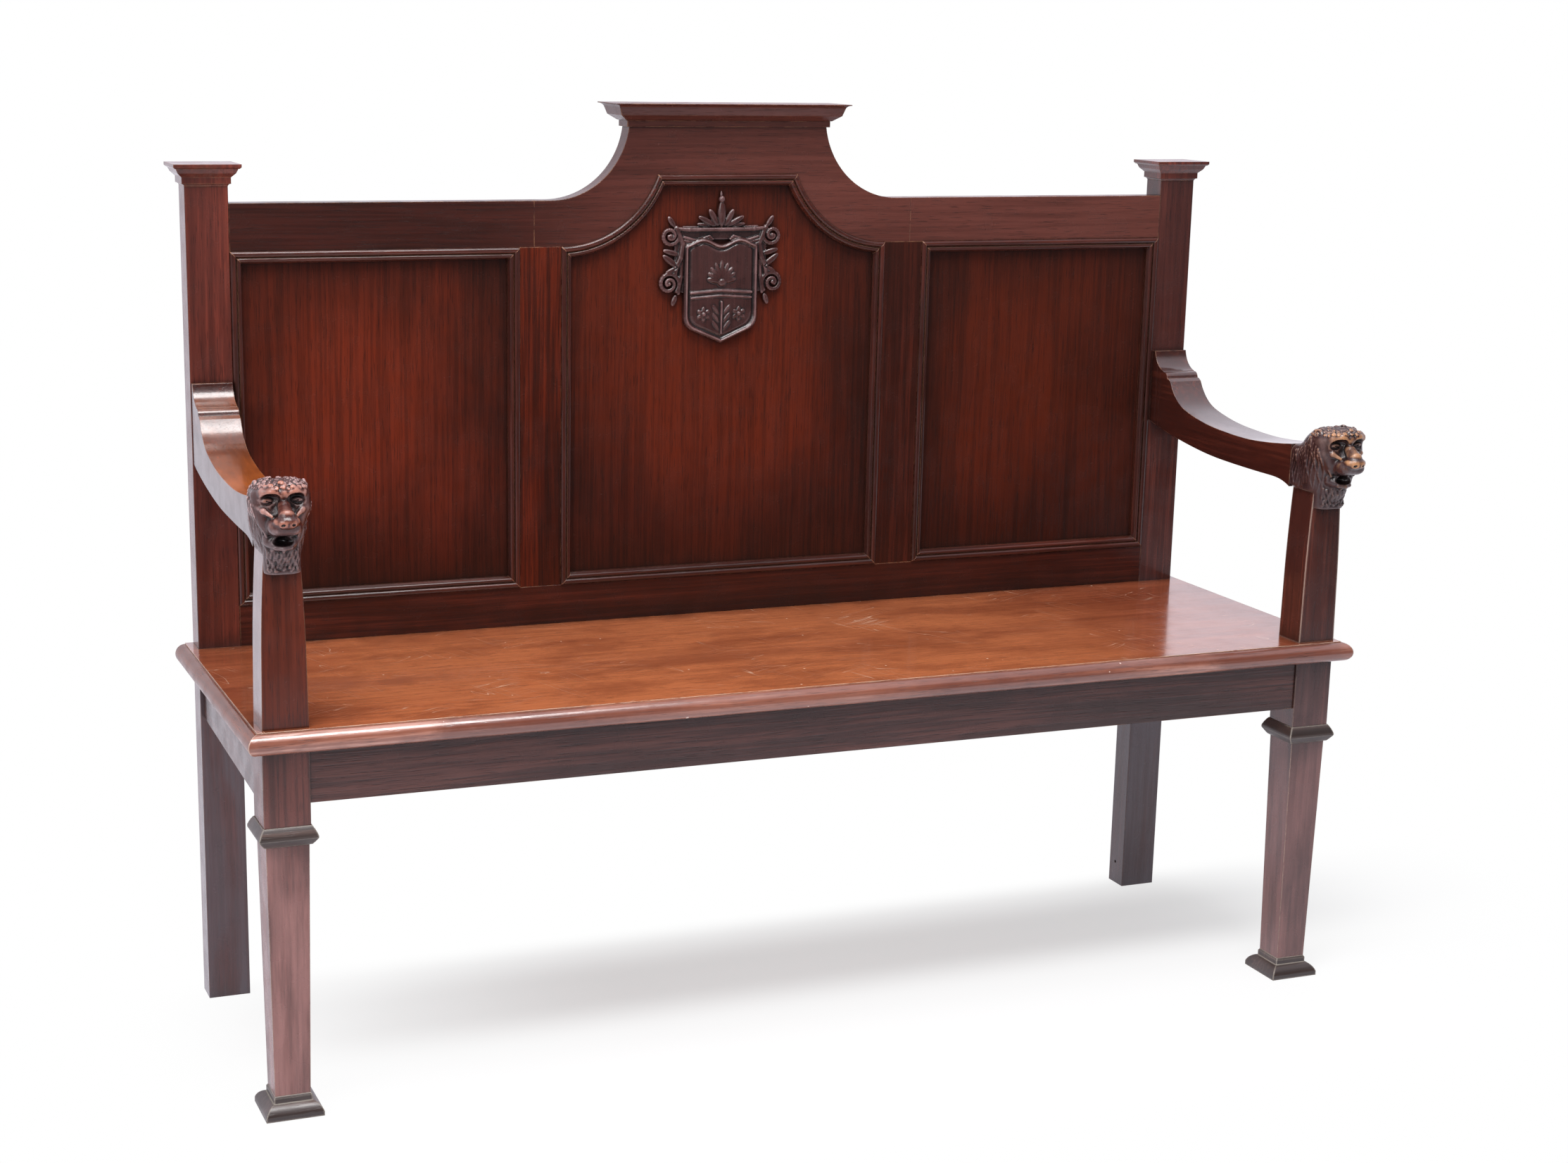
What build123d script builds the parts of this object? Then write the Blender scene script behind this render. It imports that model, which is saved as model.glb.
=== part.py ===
from build123d import *
import os
from math import atan2, cos, degrees, pi, sin, sqrt

# A panelled hall bench with lion-head arms. Millimetres, +X to the sitter's left, +Z up.
# The pieces are drawn with y = 0 on the front face of the back and are moved at export,
# so that the origin is under the middle of the bench, on the floor.

# Fits
tenon_gap = 0.15
panel_gap = 0.2
glue_gap = 0.1
overrun = 5.0

# Seat
seat_height = 450.0
seat_thickness = 25.0
seat_end_overhang = 6.5
seat_front_overhang = 7.5
nosing_width = 12.0
nosing_drop = 1.3
seat_bottom = seat_height - seat_thickness

# Back posts, which run down to the floor as the rear legs
back_length = 1361.0
post_width = 51.0
post_depth = 37.0
post_above_rail = 20.0
edge_ease = 1.0
post_outer = back_length / 2
post_inner = post_outer - post_width
post_middle = (post_outer + post_inner) / 2

# Back frame
board_thickness = 25.5
bottom_rail_height = 50.0
panel_height = 426.6
top_rail_height = 56.4
muntin_width = 53.7
centre_half_width = 220.3
rail_joint_inset = 18.4
tenon_thickness = 8.0
rail_tenon_length = 28.0
rail_tenon_margin = 9.0
muntin_tenon_length = 12.0
muntin_tenon_margin = 8.0
panel_bottom = seat_height + bottom_rail_height
panel_top = panel_bottom + panel_height
rail_top = panel_top + top_rail_height
post_height = rail_top + post_above_rail
muntin_outer = centre_half_width + muntin_width
rail_joint = muntin_outer - rail_joint_inset

# Moulded caps on the posts
cap_overhang = 14.0
cap_edge_height = 3.6
cap_quirk_height = 1.8
cap_quirk_reach = 12.0
cap_face_height = 5.2
cap_face_reach = 10.8
cap_slope_height = 5.0
cap_slope_reach = 8.4
cap_neck_reach = 3.2
cap_neck_height = 7.4
cap_cove_height = 2.6
cap_peg_radius = 7.0
cap_peg_length = 12.0

# Cornice round the top of the crest board
cornice_edge_height = 1.2
cornice_edge_reach = 24.3
cornice_hollow_height = 3.8
cornice_band_reach = 18.2
cornice_band_height = 9.4
cornice_slope_reach = 15.0
cornice_slope_height = 6.8
cornice_ledge_reach = 5.2
cornice_neck_reach = 3.5
cornice_neck_height = 7.5

# Crest board over the centre panel
crest_rise = 118.0
sweep_radius = 102.0
shoulder_flat = 21.4
crest_top = rail_top + crest_rise
cornice_height = cornice_edge_height + cornice_hollow_height + cornice_band_height
cornice_height += cornice_slope_height + cornice_neck_height
cornice_base = crest_top - cornice_height
sweep_drop = sweep_radius - (cornice_base - rail_top)
sweep_run = sqrt(sweep_radius ** 2 - sweep_drop ** 2)
neck_half_width = rail_joint - shoulder_flat - sweep_run

# Arched head of the centre opening
arch_half_top = 94.3
arch_rise = 87.4
arch_top = panel_top + arch_rise
arch_run = centre_half_width - arch_half_top
arch_radius = (arch_run ** 2 + arch_rise ** 2) / (2 * arch_rise)
arch_centre = panel_top + arch_radius

# Panels and the mouldings that frame them
panel_thickness = 8.0
panel_set_back = 8.3
groove_depth = 6.0
panel_tongue = 5.4
moulding_width = 14.5
bead_width = 6.8
bead_rise = 3.2
bead_shoulder = 0.6
channel_width = 1.3
channel_depth = 1.6
band_width = 4.6
band_rise = 1.5
band_edge_drop = 0.5
moulding_foot_rise = 4.0

# Carved shield on the centre panel
cartouche_offset = 7.0
cartouche_drop = 18.0
shield_half_width = 50.0
shield_height = 132.0
shield_shoulder_rise = 40.0
shield_depth = 13.0
scroll_depth = 8.0
bar_overhang = 2.0
bar_rise = 16.0
side_scroll_width = 13.0
upper_volute_radius = 16.0
lower_volute_radius = 17.5
leaf_fan_radius = 27.0
finial_half_width = 5.4
finial_rise = 62.0
cartouche_base = arch_top - cartouche_drop - finial_rise - shield_height

# Front legs
leg_width = 52.0
leg_stand_out = 3.5
leg_front = 386.5
leg_step = 2.0
leg_foot_taper = 6.0
leg_outer = post_outer + leg_stand_out
leg_inner = leg_outer - leg_width
leg_back = leg_front - leg_width
leg_middle_x = (leg_outer + leg_inner) / 2
leg_middle_y = -(leg_front + leg_back) / 2
seat_half_length = leg_outer + seat_end_overhang
seat_front = leg_front + seat_front_overhang

# Seat rails
rail_height = 61.0
rail_thickness = 22.0
front_rail_inset = 3.0
side_rail_front_inset = 0.8
side_rail_back_inset = 4.3
back_rail_set_back = 8.0
seat_tenon_length = 20.0
seat_tenon_margin = 8.0
seat_rail_bottom = seat_bottom - rail_height

# Collar round each front leg
collar_drop = 46.0
collar_lower_height = 8.2
collar_edge_height = 2.4
collar_upper_height = 11.0
collar_reach = 6.8
collar_lip = 0.8
collar_bottom = seat_rail_bottom - collar_drop
collar_top = collar_bottom + collar_lower_height + collar_edge_height + collar_upper_height

# Plinth feet
foot_reach = 6.8
foot_block_height = 5.2
foot_slope_height = 10.8
foot_slope_bow = 1.2
foot_quirk_height = 1.4
foot_ring_height = 5.0
foot_ring_inset = 4.4
foot_neck_height = 2.4
foot_peg_radius = 7.0
foot_peg_length = 18.0
foot_height = foot_block_height + foot_slope_height + foot_quirk_height + foot_ring_height + foot_neck_height

# Bearers, corner blocks and screws under the seat
bearer_width = 45.0
bearer_height = 32.0
bearer_place = 225.0
bearer_housing = 8.0
corner_block_leg = 38.0
corner_block_height = 40.0
corner_block_gap = 0.3
screw_radius = 2.2
screw_head_radius = 4.2
screw_head_height = 2.4
screw_bite = 14.0
screw_gap = 0.1

# Arm supports on the seat
support_half_base = 25.6
support_half_top = 19.5
support_waist_half = 24.2
support_waist_share = 0.46
support_stand_out = 0.9
support_depth = 45.0
support_dowel_radius = 6.0
support_dowel_reach = 14.0
support_dowel_inset = 8.0
support_front = leg_front + support_stand_out

# Arms
arm_inner_inset = 2.0
arm_outer_inset = 1.0
arm_rise = 238.6
arm_rear_rise = 84.7
arm_under_drop = 37.6
arm_rear_under_drop = 11.1
arm_neck_rise = 9.2
arm_neck_drop = 45.1
arm_tenon_width = 18.0
arm_tenon_length = 18.0
arm_tenon_height = 60.0
arm_peg_radius = 6.0
arm_peg_length = 14.0
arm_front = support_front - support_depth
arm_top = seat_height + arm_rise
arm_rear_top = arm_top + arm_rear_rise
arm_bottom = arm_top - arm_under_drop
arm_rear_bottom = arm_top - arm_rear_under_drop
arm_neck_top = arm_top + arm_neck_rise
arm_neck_bottom = arm_top - arm_neck_drop
# Shares of the arm's length from the back, and of its rise from arm_top to arm_rear_top
arm_ledge_shares = [(0.019, 1.0), (0.022, 0.955)]
arm_cove_shares = [(0.045, 0.80), (0.088, 0.705)]
arm_bead_shares = [(0.0905, 0.695), (0.112, 0.668), (0.118, 0.625)]
arm_quirk_shares = [(0.121, 0.600), (0.126, 0.607), (0.143, 0.568), (0.148, 0.535)]
arm_sweep_shares = [
    (0.174, 0.395), (0.215, 0.262), (0.310, 0.132), (0.410, 0.060), (0.560, 0.012), (0.700, 0.000),
    (0.860, 0.040),
]
# Shares of the arm's length, and of the rise of its underside towards the post
arm_under_shares = [
    (0.949, -0.08), (0.847, -0.01), (0.643, 0.01), (0.467, 0.09), (0.292, 0.32), (0.146, 0.60),
]

# Lion heads
head_stand_out = 59.4
head_rise = 38.9
beard_drop = 20.5
head_half_width = 33.0
head_shift = 1.6
beard_gap = 0.3
mouth_width = 19.0
mouth_height = 9.0
mouth_depth = 22.0
mouth_rise = 35.5
eye_radius = 9.0
eye_spread = 16.0
eye_rise = 82.0
eye_set_back = 18.0
head_reach = support_front + head_stand_out
head_top = arm_top + head_rise
beard_bottom = arm_neck_bottom - beard_drop
head_middle = leg_middle_x + head_shift
# Shares of the head's length from the arm to the nose, and of its height from the beard to the crown
head_profile_shares = [
    (0.00, 0.66), (0.11, 0.83), (0.26, 0.925), (0.47, 0.985), (0.63, 1.00), (0.77, 0.96), (0.84, 0.885),
    (0.84, 0.83), (0.805, 0.785), (0.91, 0.725), (1.00, 0.645), (0.985, 0.575), (0.92, 0.48), (0.75, 0.445),
    (0.73, 0.395), (0.785, 0.34), (0.69, 0.28), (0.66, 0.17), (0.595, 0.06), (0.575, 0.00),
]
# Shares of the half width and of the same length or height
head_plan_shares = [
    (0.77, 0.00), (0.90, 0.16), (1.00, 0.42), (1.00, 0.60), (0.90, 0.72), (0.66, 0.82), (0.46, 0.90),
    (0.34, 1.00),
]
head_front_shares = [
    (0.59, 0.00), (0.66, 0.25), (0.75, 0.42), (0.88, 0.57), (0.98, 0.70), (1.00, 0.82), (0.90, 0.93),
    (0.62, 1.00),
]

# Shares of the shield's height: the foot of the side scrolls and the middles of the volutes
side_scroll_share = 0.48
upper_volute_share = 1.03
lower_volute_share = 0.58
# Share of a volute's radius by which its middle stands beyond the side scroll
volute_shift_share = 0.40

# Old peg hole in the inner face of one rear leg
peg_hole_radius = 2.2
peg_hole_depth = 9.0
peg_hole_height = 31.0
peg_hole_set_back = 21.0

# Reach of the bench in front of and behind the face of the back
back_reach = post_depth + cap_overhang
placed = Pos(0, (head_reach - back_reach) / 2, 0)


def strokes(path):
    """Edges along a path, where a pair of points is an arc's middle and end, and a list is a smooth curve."""
    edges = []
    here = path[0]
    for step in path[1:]:
        if isinstance(step, list):
            end = step[-1]
            edges.append(Spline(here, *step))
        elif isinstance(step[0], tuple):
            via, end = step
            edges.append(ThreePointArc(here, via, end))
        else:
            end = step
            edges.append(Line(here, end))
        here = end
    return edges


def last_point(path):
    """The point where a path ends."""
    return path[-1][-1] if isinstance(path[-1][0], tuple) else path[-1]


def mapped(path, change):
    """The same path with every point changed by a function."""
    return [tuple(change(*p) for p in step) if isinstance(step[0], tuple) else change(*step) for step in path]


def closed_face(path):
    """A face inside a path, closed by a straight line where its ends differ."""
    edges = strokes(path)
    if last_point(path) != path[0]:
        edges.append(Line(last_point(path), path[0]))
    return make_face(edges)


def front_solid(path, y0, y1):
    """A solid whose outline is drawn in x and z."""
    plane = Plane(origin=(0, y1, 0), x_dir=(1, 0, 0), z_dir=(0, -1, 0))
    return extrude(plane * closed_face(path), amount=y1 - y0)


def side_solid(path, x0, x1):
    """A solid whose outline is drawn in y and z."""
    plane = Plane(origin=(x0, 0, 0), x_dir=(0, 1, 0), z_dir=(1, 0, 0))
    return extrude(plane * closed_face(path), amount=x1 - x0)


def plan_solid(path, z0, z1):
    """A solid whose outline is drawn in x and y."""
    return extrude(Plane.XY.offset(z0) * closed_face(path), amount=z1 - z0)


def block(x0, x1, y0, y1, z0, z1):
    """A box between two corners."""
    return Pos((x0 + x1) / 2, (y0 + y1) / 2, (z0 + z1) / 2) * Box(x1 - x0, y1 - y0, z1 - z0)


def eased_block(x0, x1, y0, y1, z0, z1):
    """A box with its upright edges softened."""
    box = block(x0, x1, y0, y1, z0, z1)
    return fillet(box.edges().filter_by(Axis.Z), edge_ease)


def peg(x, y, z0, z1, radius):
    """An upright round peg."""
    return Pos(x, y, (z0 + z1) / 2) * Cylinder(radius, z1 - z0)


def flipped(solid):
    """The same piece on the other side of the bench."""
    return mirror(solid, Plane.YZ)


def moulded_block(x0, x1, y0, y1, profile, wrap_back=True):
    """A block with mitred mouldings: the profile gives reach beyond the sides against height."""
    reach = max(abs(p[0]) for step in profile for p in (step if isinstance(step[0], tuple) else (step,)))
    margin = reach + overrun

    def silhouette(low, high, wrap_high):
        low_side = mapped(profile, lambda o, z: (low - o, z))
        high_side = mapped(profile, lambda o, z: (high + (o if wrap_high else 0), z))
        if not wrap_high:
            high_side = [high_side[0], last_point(high_side)]
        ends = [Line(low_side[0], high_side[0]), Line(last_point(low_side), last_point(high_side))]
        return make_face(strokes(low_side) + strokes(high_side) + ends)

    front = Plane(origin=(0, y1 + margin, 0), x_dir=(1, 0, 0), z_dir=(0, -1, 0))
    side = Plane(origin=(x0 - margin, 0, 0), x_dir=(0, 1, 0), z_dir=(1, 0, 0))
    across = extrude(front * silhouette(x0, x1, True), amount=y1 - y0 + 2 * margin)
    along = extrude(side * silhouette(y0, y1, wrap_back), amount=x1 - x0 + 2 * margin)
    return across & along


# Openings for the panels


def arch_path(grow):
    """Outline of the centre opening, grown or shrunk by a distance."""
    side = centre_half_width + grow
    top = arch_top + grow
    radius = arch_radius - grow
    top_x = centre_half_width - sqrt(radius ** 2 - (arch_centre - top) ** 2)
    low_x = min(side, centre_half_width)
    low_z = arch_centre - sqrt(radius ** 2 - (centre_half_width - low_x) ** 2)
    top_turn = atan2(arch_centre - top, centre_half_width - top_x)
    low_turn = atan2(arch_centre - low_z, centre_half_width - low_x)
    middle_turn = (top_turn + low_turn) / 2
    via_x = centre_half_width - radius * cos(middle_turn)
    via_z = arch_centre - radius * sin(middle_turn)
    right = [(side, panel_bottom - grow), (side, low_z), (low_x, low_z), ((via_x, via_z), (top_x, top))]
    if low_x == side:
        right.pop(2)
    left = [(-top_x, top), ((-via_x, via_z), (-low_x, low_z)), (-side, low_z), (-side, panel_bottom - grow)]
    if low_x == side:
        left.pop(2)
    return right + left


def centre_space(grow, y0, y1):
    """The centre opening as a solid, grown by a distance."""
    return front_solid(arch_path(grow), y0, y1)


def side_space(grow, y0, y1):
    """The right opening as a solid, grown by a distance."""
    return block(muntin_outer - grow, post_inner + grow, y0, y1, panel_bottom - grow, panel_top + grow)


groove_front = panel_set_back - panel_gap
groove_back = panel_set_back + panel_thickness + panel_gap
centre_groove = centre_space(groove_depth, groove_front, groove_back)
right_groove = side_space(groove_depth, groove_front, groove_back)


def rail_tenon(x0, x1, z0, z1, gap=0.0):
    """A tenon in line with the panel grooves, or its mortise when a gap is given."""
    front = panel_set_back
    return block(x0 - gap, x1 + gap, front - gap, front + tenon_thickness + gap, z0 - gap, z1 + gap)


def top_rail_post_tenon(gap=0.0):
    """Tenon of the right top rail in the post."""
    return rail_tenon(post_inner, post_inner + rail_tenon_length, panel_top + rail_tenon_margin,
                      rail_top - rail_tenon_margin, gap)


def top_rail_crest_tenon(gap=0.0):
    """Tenon of the right top rail in the end of the crest board."""
    low = panel_top + muntin_tenon_length + rail_tenon_margin
    return rail_tenon(rail_joint - rail_tenon_length / 2, rail_joint, low, rail_top - rail_tenon_margin, gap)


def bottom_rail_tenon(gap=0.0):
    """Tenon of the bottom back rail in the right post."""
    return rail_tenon(post_inner, post_inner + rail_tenon_length, seat_height + rail_tenon_margin,
                      panel_bottom - rail_tenon_margin, gap)


def muntin_tenon_low(gap=0.0):
    """Tenon at the foot of the right muntin."""
    inset = groove_depth + muntin_tenon_margin
    low = panel_bottom - muntin_tenon_length
    return rail_tenon(centre_half_width + inset, muntin_outer - inset, low, panel_bottom, gap)


def muntin_tenon_high(gap=0.0):
    """Tenon at the head of the right muntin, in the crest board."""
    inset = groove_depth + muntin_tenon_margin / 2
    high = panel_top + muntin_tenon_length
    return rail_tenon(centre_half_width + inset, rail_joint - inset / 2, panel_top, high, gap)


# Seat rails and their tenons


def side_rail_path(from_inner, to_inner):
    """Plan of the right side rail, which runs slightly askew from leg to post."""
    leg_face = leg_outer - side_rail_front_inset
    post_face = post_outer - side_rail_back_inset
    return [(leg_face - from_inner, -leg_back), (leg_face - to_inner, -leg_back),
            (post_face - to_inner, 0), (post_face - from_inner, 0)]


def side_rail_tenons(gap=0.0):
    """Tenons at the ends of the right side rail."""
    low = seat_rail_bottom + seat_tenon_margin - gap
    high = seat_bottom - seat_tenon_margin + gap
    margin = (rail_thickness - tenon_thickness) / 2
    path = side_rail_path(margin, rail_thickness - margin)
    front_out, front_in, rear_in, rear_out = [x for x, _ in path]
    front = block(front_in - gap, front_out + gap, -leg_back - seat_tenon_length - gap, -leg_back, low, high)
    rear = block(rear_in - gap, rear_out + gap, 0, seat_tenon_length + gap, low, high)
    return front, rear


def front_rail_tenon(gap=0.0):
    """Tenon at the right end of the front seat rail."""
    face = -(leg_front - front_rail_inset)
    margin = (rail_thickness - tenon_thickness) / 2
    return block(leg_inner, leg_inner + seat_tenon_length + gap,
                 face + margin - gap, face + rail_thickness - margin + gap,
                 seat_rail_bottom + seat_tenon_margin - gap, seat_bottom - seat_tenon_margin + gap)


def back_rail_tenon(gap=0.0):
    """Tenon at the right end of the back seat rail."""
    margin = (rail_thickness - tenon_thickness) / 2
    return block(post_inner, post_inner + seat_tenon_length + gap,
                 back_rail_set_back + margin - gap, back_rail_set_back + rail_thickness - margin + gap,
                 seat_rail_bottom + seat_tenon_margin - gap, seat_bottom - seat_tenon_margin + gap)


def arm_tenon(gap=0.0):
    """Tenon of the right arm in the post."""
    low = arm_rear_bottom + (arm_rear_top - arm_rear_bottom - arm_tenon_height) / 2
    half = arm_tenon_width / 2
    return block(post_middle - half - gap, post_middle + half + gap, 0, arm_tenon_length + gap,
                 low - gap, low + arm_tenon_height + gap)


def support_dowel(gap=0.0):
    """Dowel that holds the right arm support through the seat to the leg."""
    y = -leg_back - support_dowel_inset - support_dowel_radius
    x = leg_middle_x - support_dowel_radius / 2
    return peg(x, y, seat_bottom - support_dowel_reach - gap, seat_height, support_dowel_radius + gap)


def foot_peg(gap=0.0):
    """Peg that holds the right foot to the leg."""
    top = foot_height + foot_peg_length + gap
    return peg(leg_middle_x, leg_middle_y, foot_height, top, foot_peg_radius + gap)


def cap_peg(gap=0.0):
    """Peg that holds the right cap to the post."""
    low = post_height - cap_peg_length - gap
    return peg(post_middle, post_depth / 2, low, post_height, cap_peg_radius + gap)


def neck_peg(gap=0.0):
    """Peg that joins the right arm to the lion head."""
    height = (arm_neck_bottom + arm_neck_top) / 2
    centre = (leg_middle_x, -(arm_front + (arm_peg_length + gap) / 2), height)
    return Pos(*centre) * Rot(90, 0, 0) * Cylinder(arm_peg_radius + gap, arm_peg_length + gap)


def support_peg(gap=0.0):
    """Peg on top of the right arm support that goes up into the lion head."""
    return peg(leg_middle_x, -(support_front - support_depth / 2), arm_neck_bottom,
               arm_neck_bottom + arm_peg_length + gap, arm_peg_radius + gap)


# Pieces of the back


def back_post():
    """Right back post and rear leg, with its mortises."""
    post = eased_block(post_inner, post_outer, 0, post_depth, 0, post_height) - right_groove
    for tenon in (top_rail_post_tenon, bottom_rail_tenon, back_rail_tenon, arm_tenon, cap_peg):
        post -= tenon(tenon_gap)
    return post - side_rail_tenons(tenon_gap)[1]


def post_with_peg_hole():
    """Right back post, with an old peg hole low on its inner face."""
    hole = Pos(post_inner, peg_hole_set_back, peg_hole_height) * Rot(0, 90, 0)
    return back_post() - hole * Cylinder(peg_hole_radius, 2 * peg_hole_depth)


def post_cap():
    """Moulded cap on the right post."""
    neck = post_height + cap_cove_height
    slope = neck + cap_neck_height
    face = slope + cap_slope_height
    quirk = face + cap_face_height
    edge = quirk + cap_quirk_height
    cove_via = (cap_neck_reach / 3, neck - cap_cove_height / 3)
    profile = [
        (0, post_height), (cove_via, (cap_neck_reach, neck)), (cap_neck_reach, slope),
        (cap_slope_reach, face), (cap_face_reach, quirk), (cap_quirk_reach, quirk),
        (cap_overhang, edge), (cap_overhang, edge + cap_edge_height),
    ]
    return moulded_block(post_inner, post_outer, 0, post_depth, profile) + cap_peg()


def top_rail():
    """Right top rail, tenoned into the post and the crest board."""
    rail = block(rail_joint, post_inner, 0, board_thickness, panel_top, rail_top)
    return rail - right_groove + top_rail_post_tenon() + top_rail_crest_tenon()


def crest_rail():
    """Shaped crest board that arches over the centre panel."""
    shoulder = rail_joint - shoulder_flat
    centre_z = rail_top + sweep_radius
    turn = (pi / 2 + atan2(sweep_drop, sweep_run)) / 2
    via = (shoulder - sweep_radius * cos(turn), centre_z - sweep_radius * sin(turn))
    neck = neck_half_width
    path = [
        (rail_joint, panel_top), (rail_joint, rail_top), (shoulder, rail_top), (via, (neck, cornice_base)),
        (neck, crest_top), (-neck, crest_top), (-neck, cornice_base),
        ((-via[0], via[1]), (-shoulder, rail_top)), (-rail_joint, rail_top), (-rail_joint, panel_top),
    ]
    board = front_solid(path, 0, board_thickness) - centre_space(0, -overrun, board_thickness + overrun)
    board -= centre_groove
    for cut in (top_rail_crest_tenon(tenon_gap), muntin_tenon_high(tenon_gap)):
        board = board - cut - flipped(cut)
    return board - right_groove - flipped(right_groove)


def cornice_ring():
    """The whole cornice, mitred at its four corners, less the crest board that it wraps."""
    ledge = cornice_base + cornice_neck_height
    slope = ledge + cornice_slope_height
    band = slope + cornice_band_height
    edge = band + cornice_hollow_height
    hollow_via = (cornice_band_reach + (cornice_edge_reach - cornice_band_reach) / 3,
                  band + cornice_hollow_height * 2 / 3)
    profile = [
        (cornice_neck_reach, cornice_base), (cornice_neck_reach, ledge), (cornice_ledge_reach, ledge),
        (cornice_slope_reach, slope), (cornice_band_reach, band), (hollow_via, (cornice_edge_reach, edge)),
        (cornice_edge_reach, crest_top),
    ]
    whole = moulded_block(-neck_half_width, neck_half_width, 0, board_thickness, profile)
    core = block(-neck_half_width - glue_gap, neck_half_width + glue_gap, -glue_gap,
                 board_thickness + glue_gap, cornice_base - overrun, crest_top + overrun)
    return whole - core


def cornice_length(path):
    """One length of the cornice, cut by its mitres."""
    return cornice_ring() & plan_solid(path, rail_top, crest_top + overrun)


def cornice_front():
    """Front length of the cornice, mitred at both ends."""
    far = cornice_edge_reach + overrun
    neck = neck_half_width
    return cornice_length([(-neck, 0), (neck, 0), (neck + far, -far), (-neck - far, -far)])


def cornice_back():
    """Back length of the cornice, mitred at both ends."""
    far = cornice_edge_reach + overrun
    neck = neck_half_width
    rear = board_thickness
    return cornice_length([(-neck, rear), (neck, rear), (neck + far, rear + far), (-neck - far, rear + far)])


def cornice_return():
    """Right return of the cornice, mitred at both ends."""
    far = cornice_edge_reach + overrun
    neck = neck_half_width
    rear = board_thickness
    return cornice_length([(neck, 0), (neck + far, -far), (neck + far, rear + far), (neck, rear)])


def bottom_back_rail():
    """Rail between the posts that stands on the seat."""
    rail = block(-post_inner, post_inner, 0, board_thickness, seat_height, panel_bottom) - centre_groove
    for side in (lambda piece: piece, flipped):
        rail = rail - side(right_groove) - side(muntin_tenon_low(tenon_gap)) + side(bottom_rail_tenon())
    return rail


def muntin():
    """Right muntin between two panels."""
    post = block(centre_half_width, muntin_outer, 0, board_thickness, panel_bottom, panel_top)
    return post - right_groove - centre_groove + muntin_tenon_low() + muntin_tenon_high()


def side_panel():
    """Right panel, loose in its grooves."""
    return side_space(panel_tongue, panel_set_back, panel_set_back + panel_thickness)


def centre_panel():
    """Shaped centre panel, loose in its grooves."""
    return centre_space(panel_tongue, panel_set_back, panel_set_back + panel_thickness)


# Panel mouldings


def moulding_section():
    """Section as distance in from the opening's edge against height over the panel."""
    face = panel_set_back
    bead = bead_width
    channel = bead + channel_width
    band = channel + band_width
    return [
        (0, 0), (0, face + bead_shoulder), ((bead / 2, face + bead_rise), (bead, face + bead_shoulder)),
        (bead, face - channel_depth), (channel, face - channel_depth), (channel, face + band_rise / 2),
        ((channel + band_width / 2, face + band_rise), (band, face - band_edge_drop)),
        (moulding_width, moulding_foot_rise), (moulding_width, 0),
    ]


def level_stick(x0, x1, edge, inward):
    """Straight horizontal length of the moulding along the edge at a height."""
    path = mapped(moulding_section(), lambda s, h: (panel_set_back - h, edge + inward * s))
    return side_solid(path, x0, x1)


def upright_stick(z0, z1, edge, inward):
    """Straight upright length of the moulding along the edge at a place."""
    path = mapped(moulding_section(), lambda s, h: (edge + inward * s, panel_set_back - h))
    return plan_solid(path, z0, z1)


def mitred(stick, corners):
    """A stick cut to the four corners of its mitres."""
    return stick & front_solid(corners, -bead_rise - overrun, panel_set_back)


def rectangle_sticks(x0, x1, z0, z1):
    """The four mitred mouldings round a rectangular opening, by name."""
    inner_x0 = x0 + moulding_width
    inner_x1 = x1 - moulding_width
    inner_z0 = z0 + moulding_width
    inner_z1 = z1 - moulding_width
    top = [(x0, z1), (x1, z1), (inner_x1, inner_z1), (inner_x0, inner_z1)]
    bottom = [(x0, z0), (x1, z0), (inner_x1, inner_z0), (inner_x0, inner_z0)]
    left = [(x0, z0), (inner_x0, inner_z0), (inner_x0, inner_z1), (x0, z1)]
    right = [(x1, z0), (inner_x1, inner_z0), (inner_x1, inner_z1), (x1, z1)]
    return {
        "top": mitred(level_stick(x0, x1, z1, -1), top),
        "bottom": mitred(level_stick(x0, x1, z0, 1), bottom),
        "left": mitred(upright_stick(z0, z1, x0, 1), left),
        "right": mitred(upright_stick(z0, z1, x1, -1), right),
    }


def arch_mitre(drop):
    """The point a drop below the flat top, on the mitre at its right end."""
    spoke_drop = (arch_centre - arch_top) / arch_radius
    spoke_run = arch_run / arch_radius
    return arch_half_top - drop * spoke_run / (1 + spoke_drop), arch_top - drop


def arch_top_stick():
    """Straight moulding at the head of the centre panel."""
    stick = level_stick(-arch_half_top, arch_half_top, arch_top, -1)
    corner = arch_mitre(0)
    end = arch_mitre(moulding_width)
    return mitred(stick, [(-corner[0], corner[1]), corner, end, (-end[0], end[1])])


def arch_curved_stick():
    """Right curved moulding, swept round the arch and mitred at both ends."""
    path = mapped(moulding_section(), lambda s, h: (panel_set_back - h, arch_centre - arch_radius - s))
    plane = Plane(origin=(centre_half_width, 0, 0), x_dir=(0, 1, 0), z_dir=(1, 0, 0))
    axis = Axis((centre_half_width, 0, arch_centre), (0, 1, 0))
    stick = revolve(plane * closed_face(path), axis=axis, revolution_arc=degrees(pi / 2))
    far = arch_radius / 2
    near = moulding_width
    low_x = centre_half_width
    low_z = panel_top
    wedge = [arch_mitre(-near), arch_mitre(far), (low_x - far, low_z - far), (low_x + near, low_z + near)]
    return mitred(stick, wedge)


# Carved shield


def scroll_disc(x, z, radius):
    """A round blank on the face of the centre panel."""
    return Pos(x, panel_set_back - scroll_depth / 2, z) * Rot(90, 0, 0) * Cylinder(radius, scroll_depth)


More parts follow.
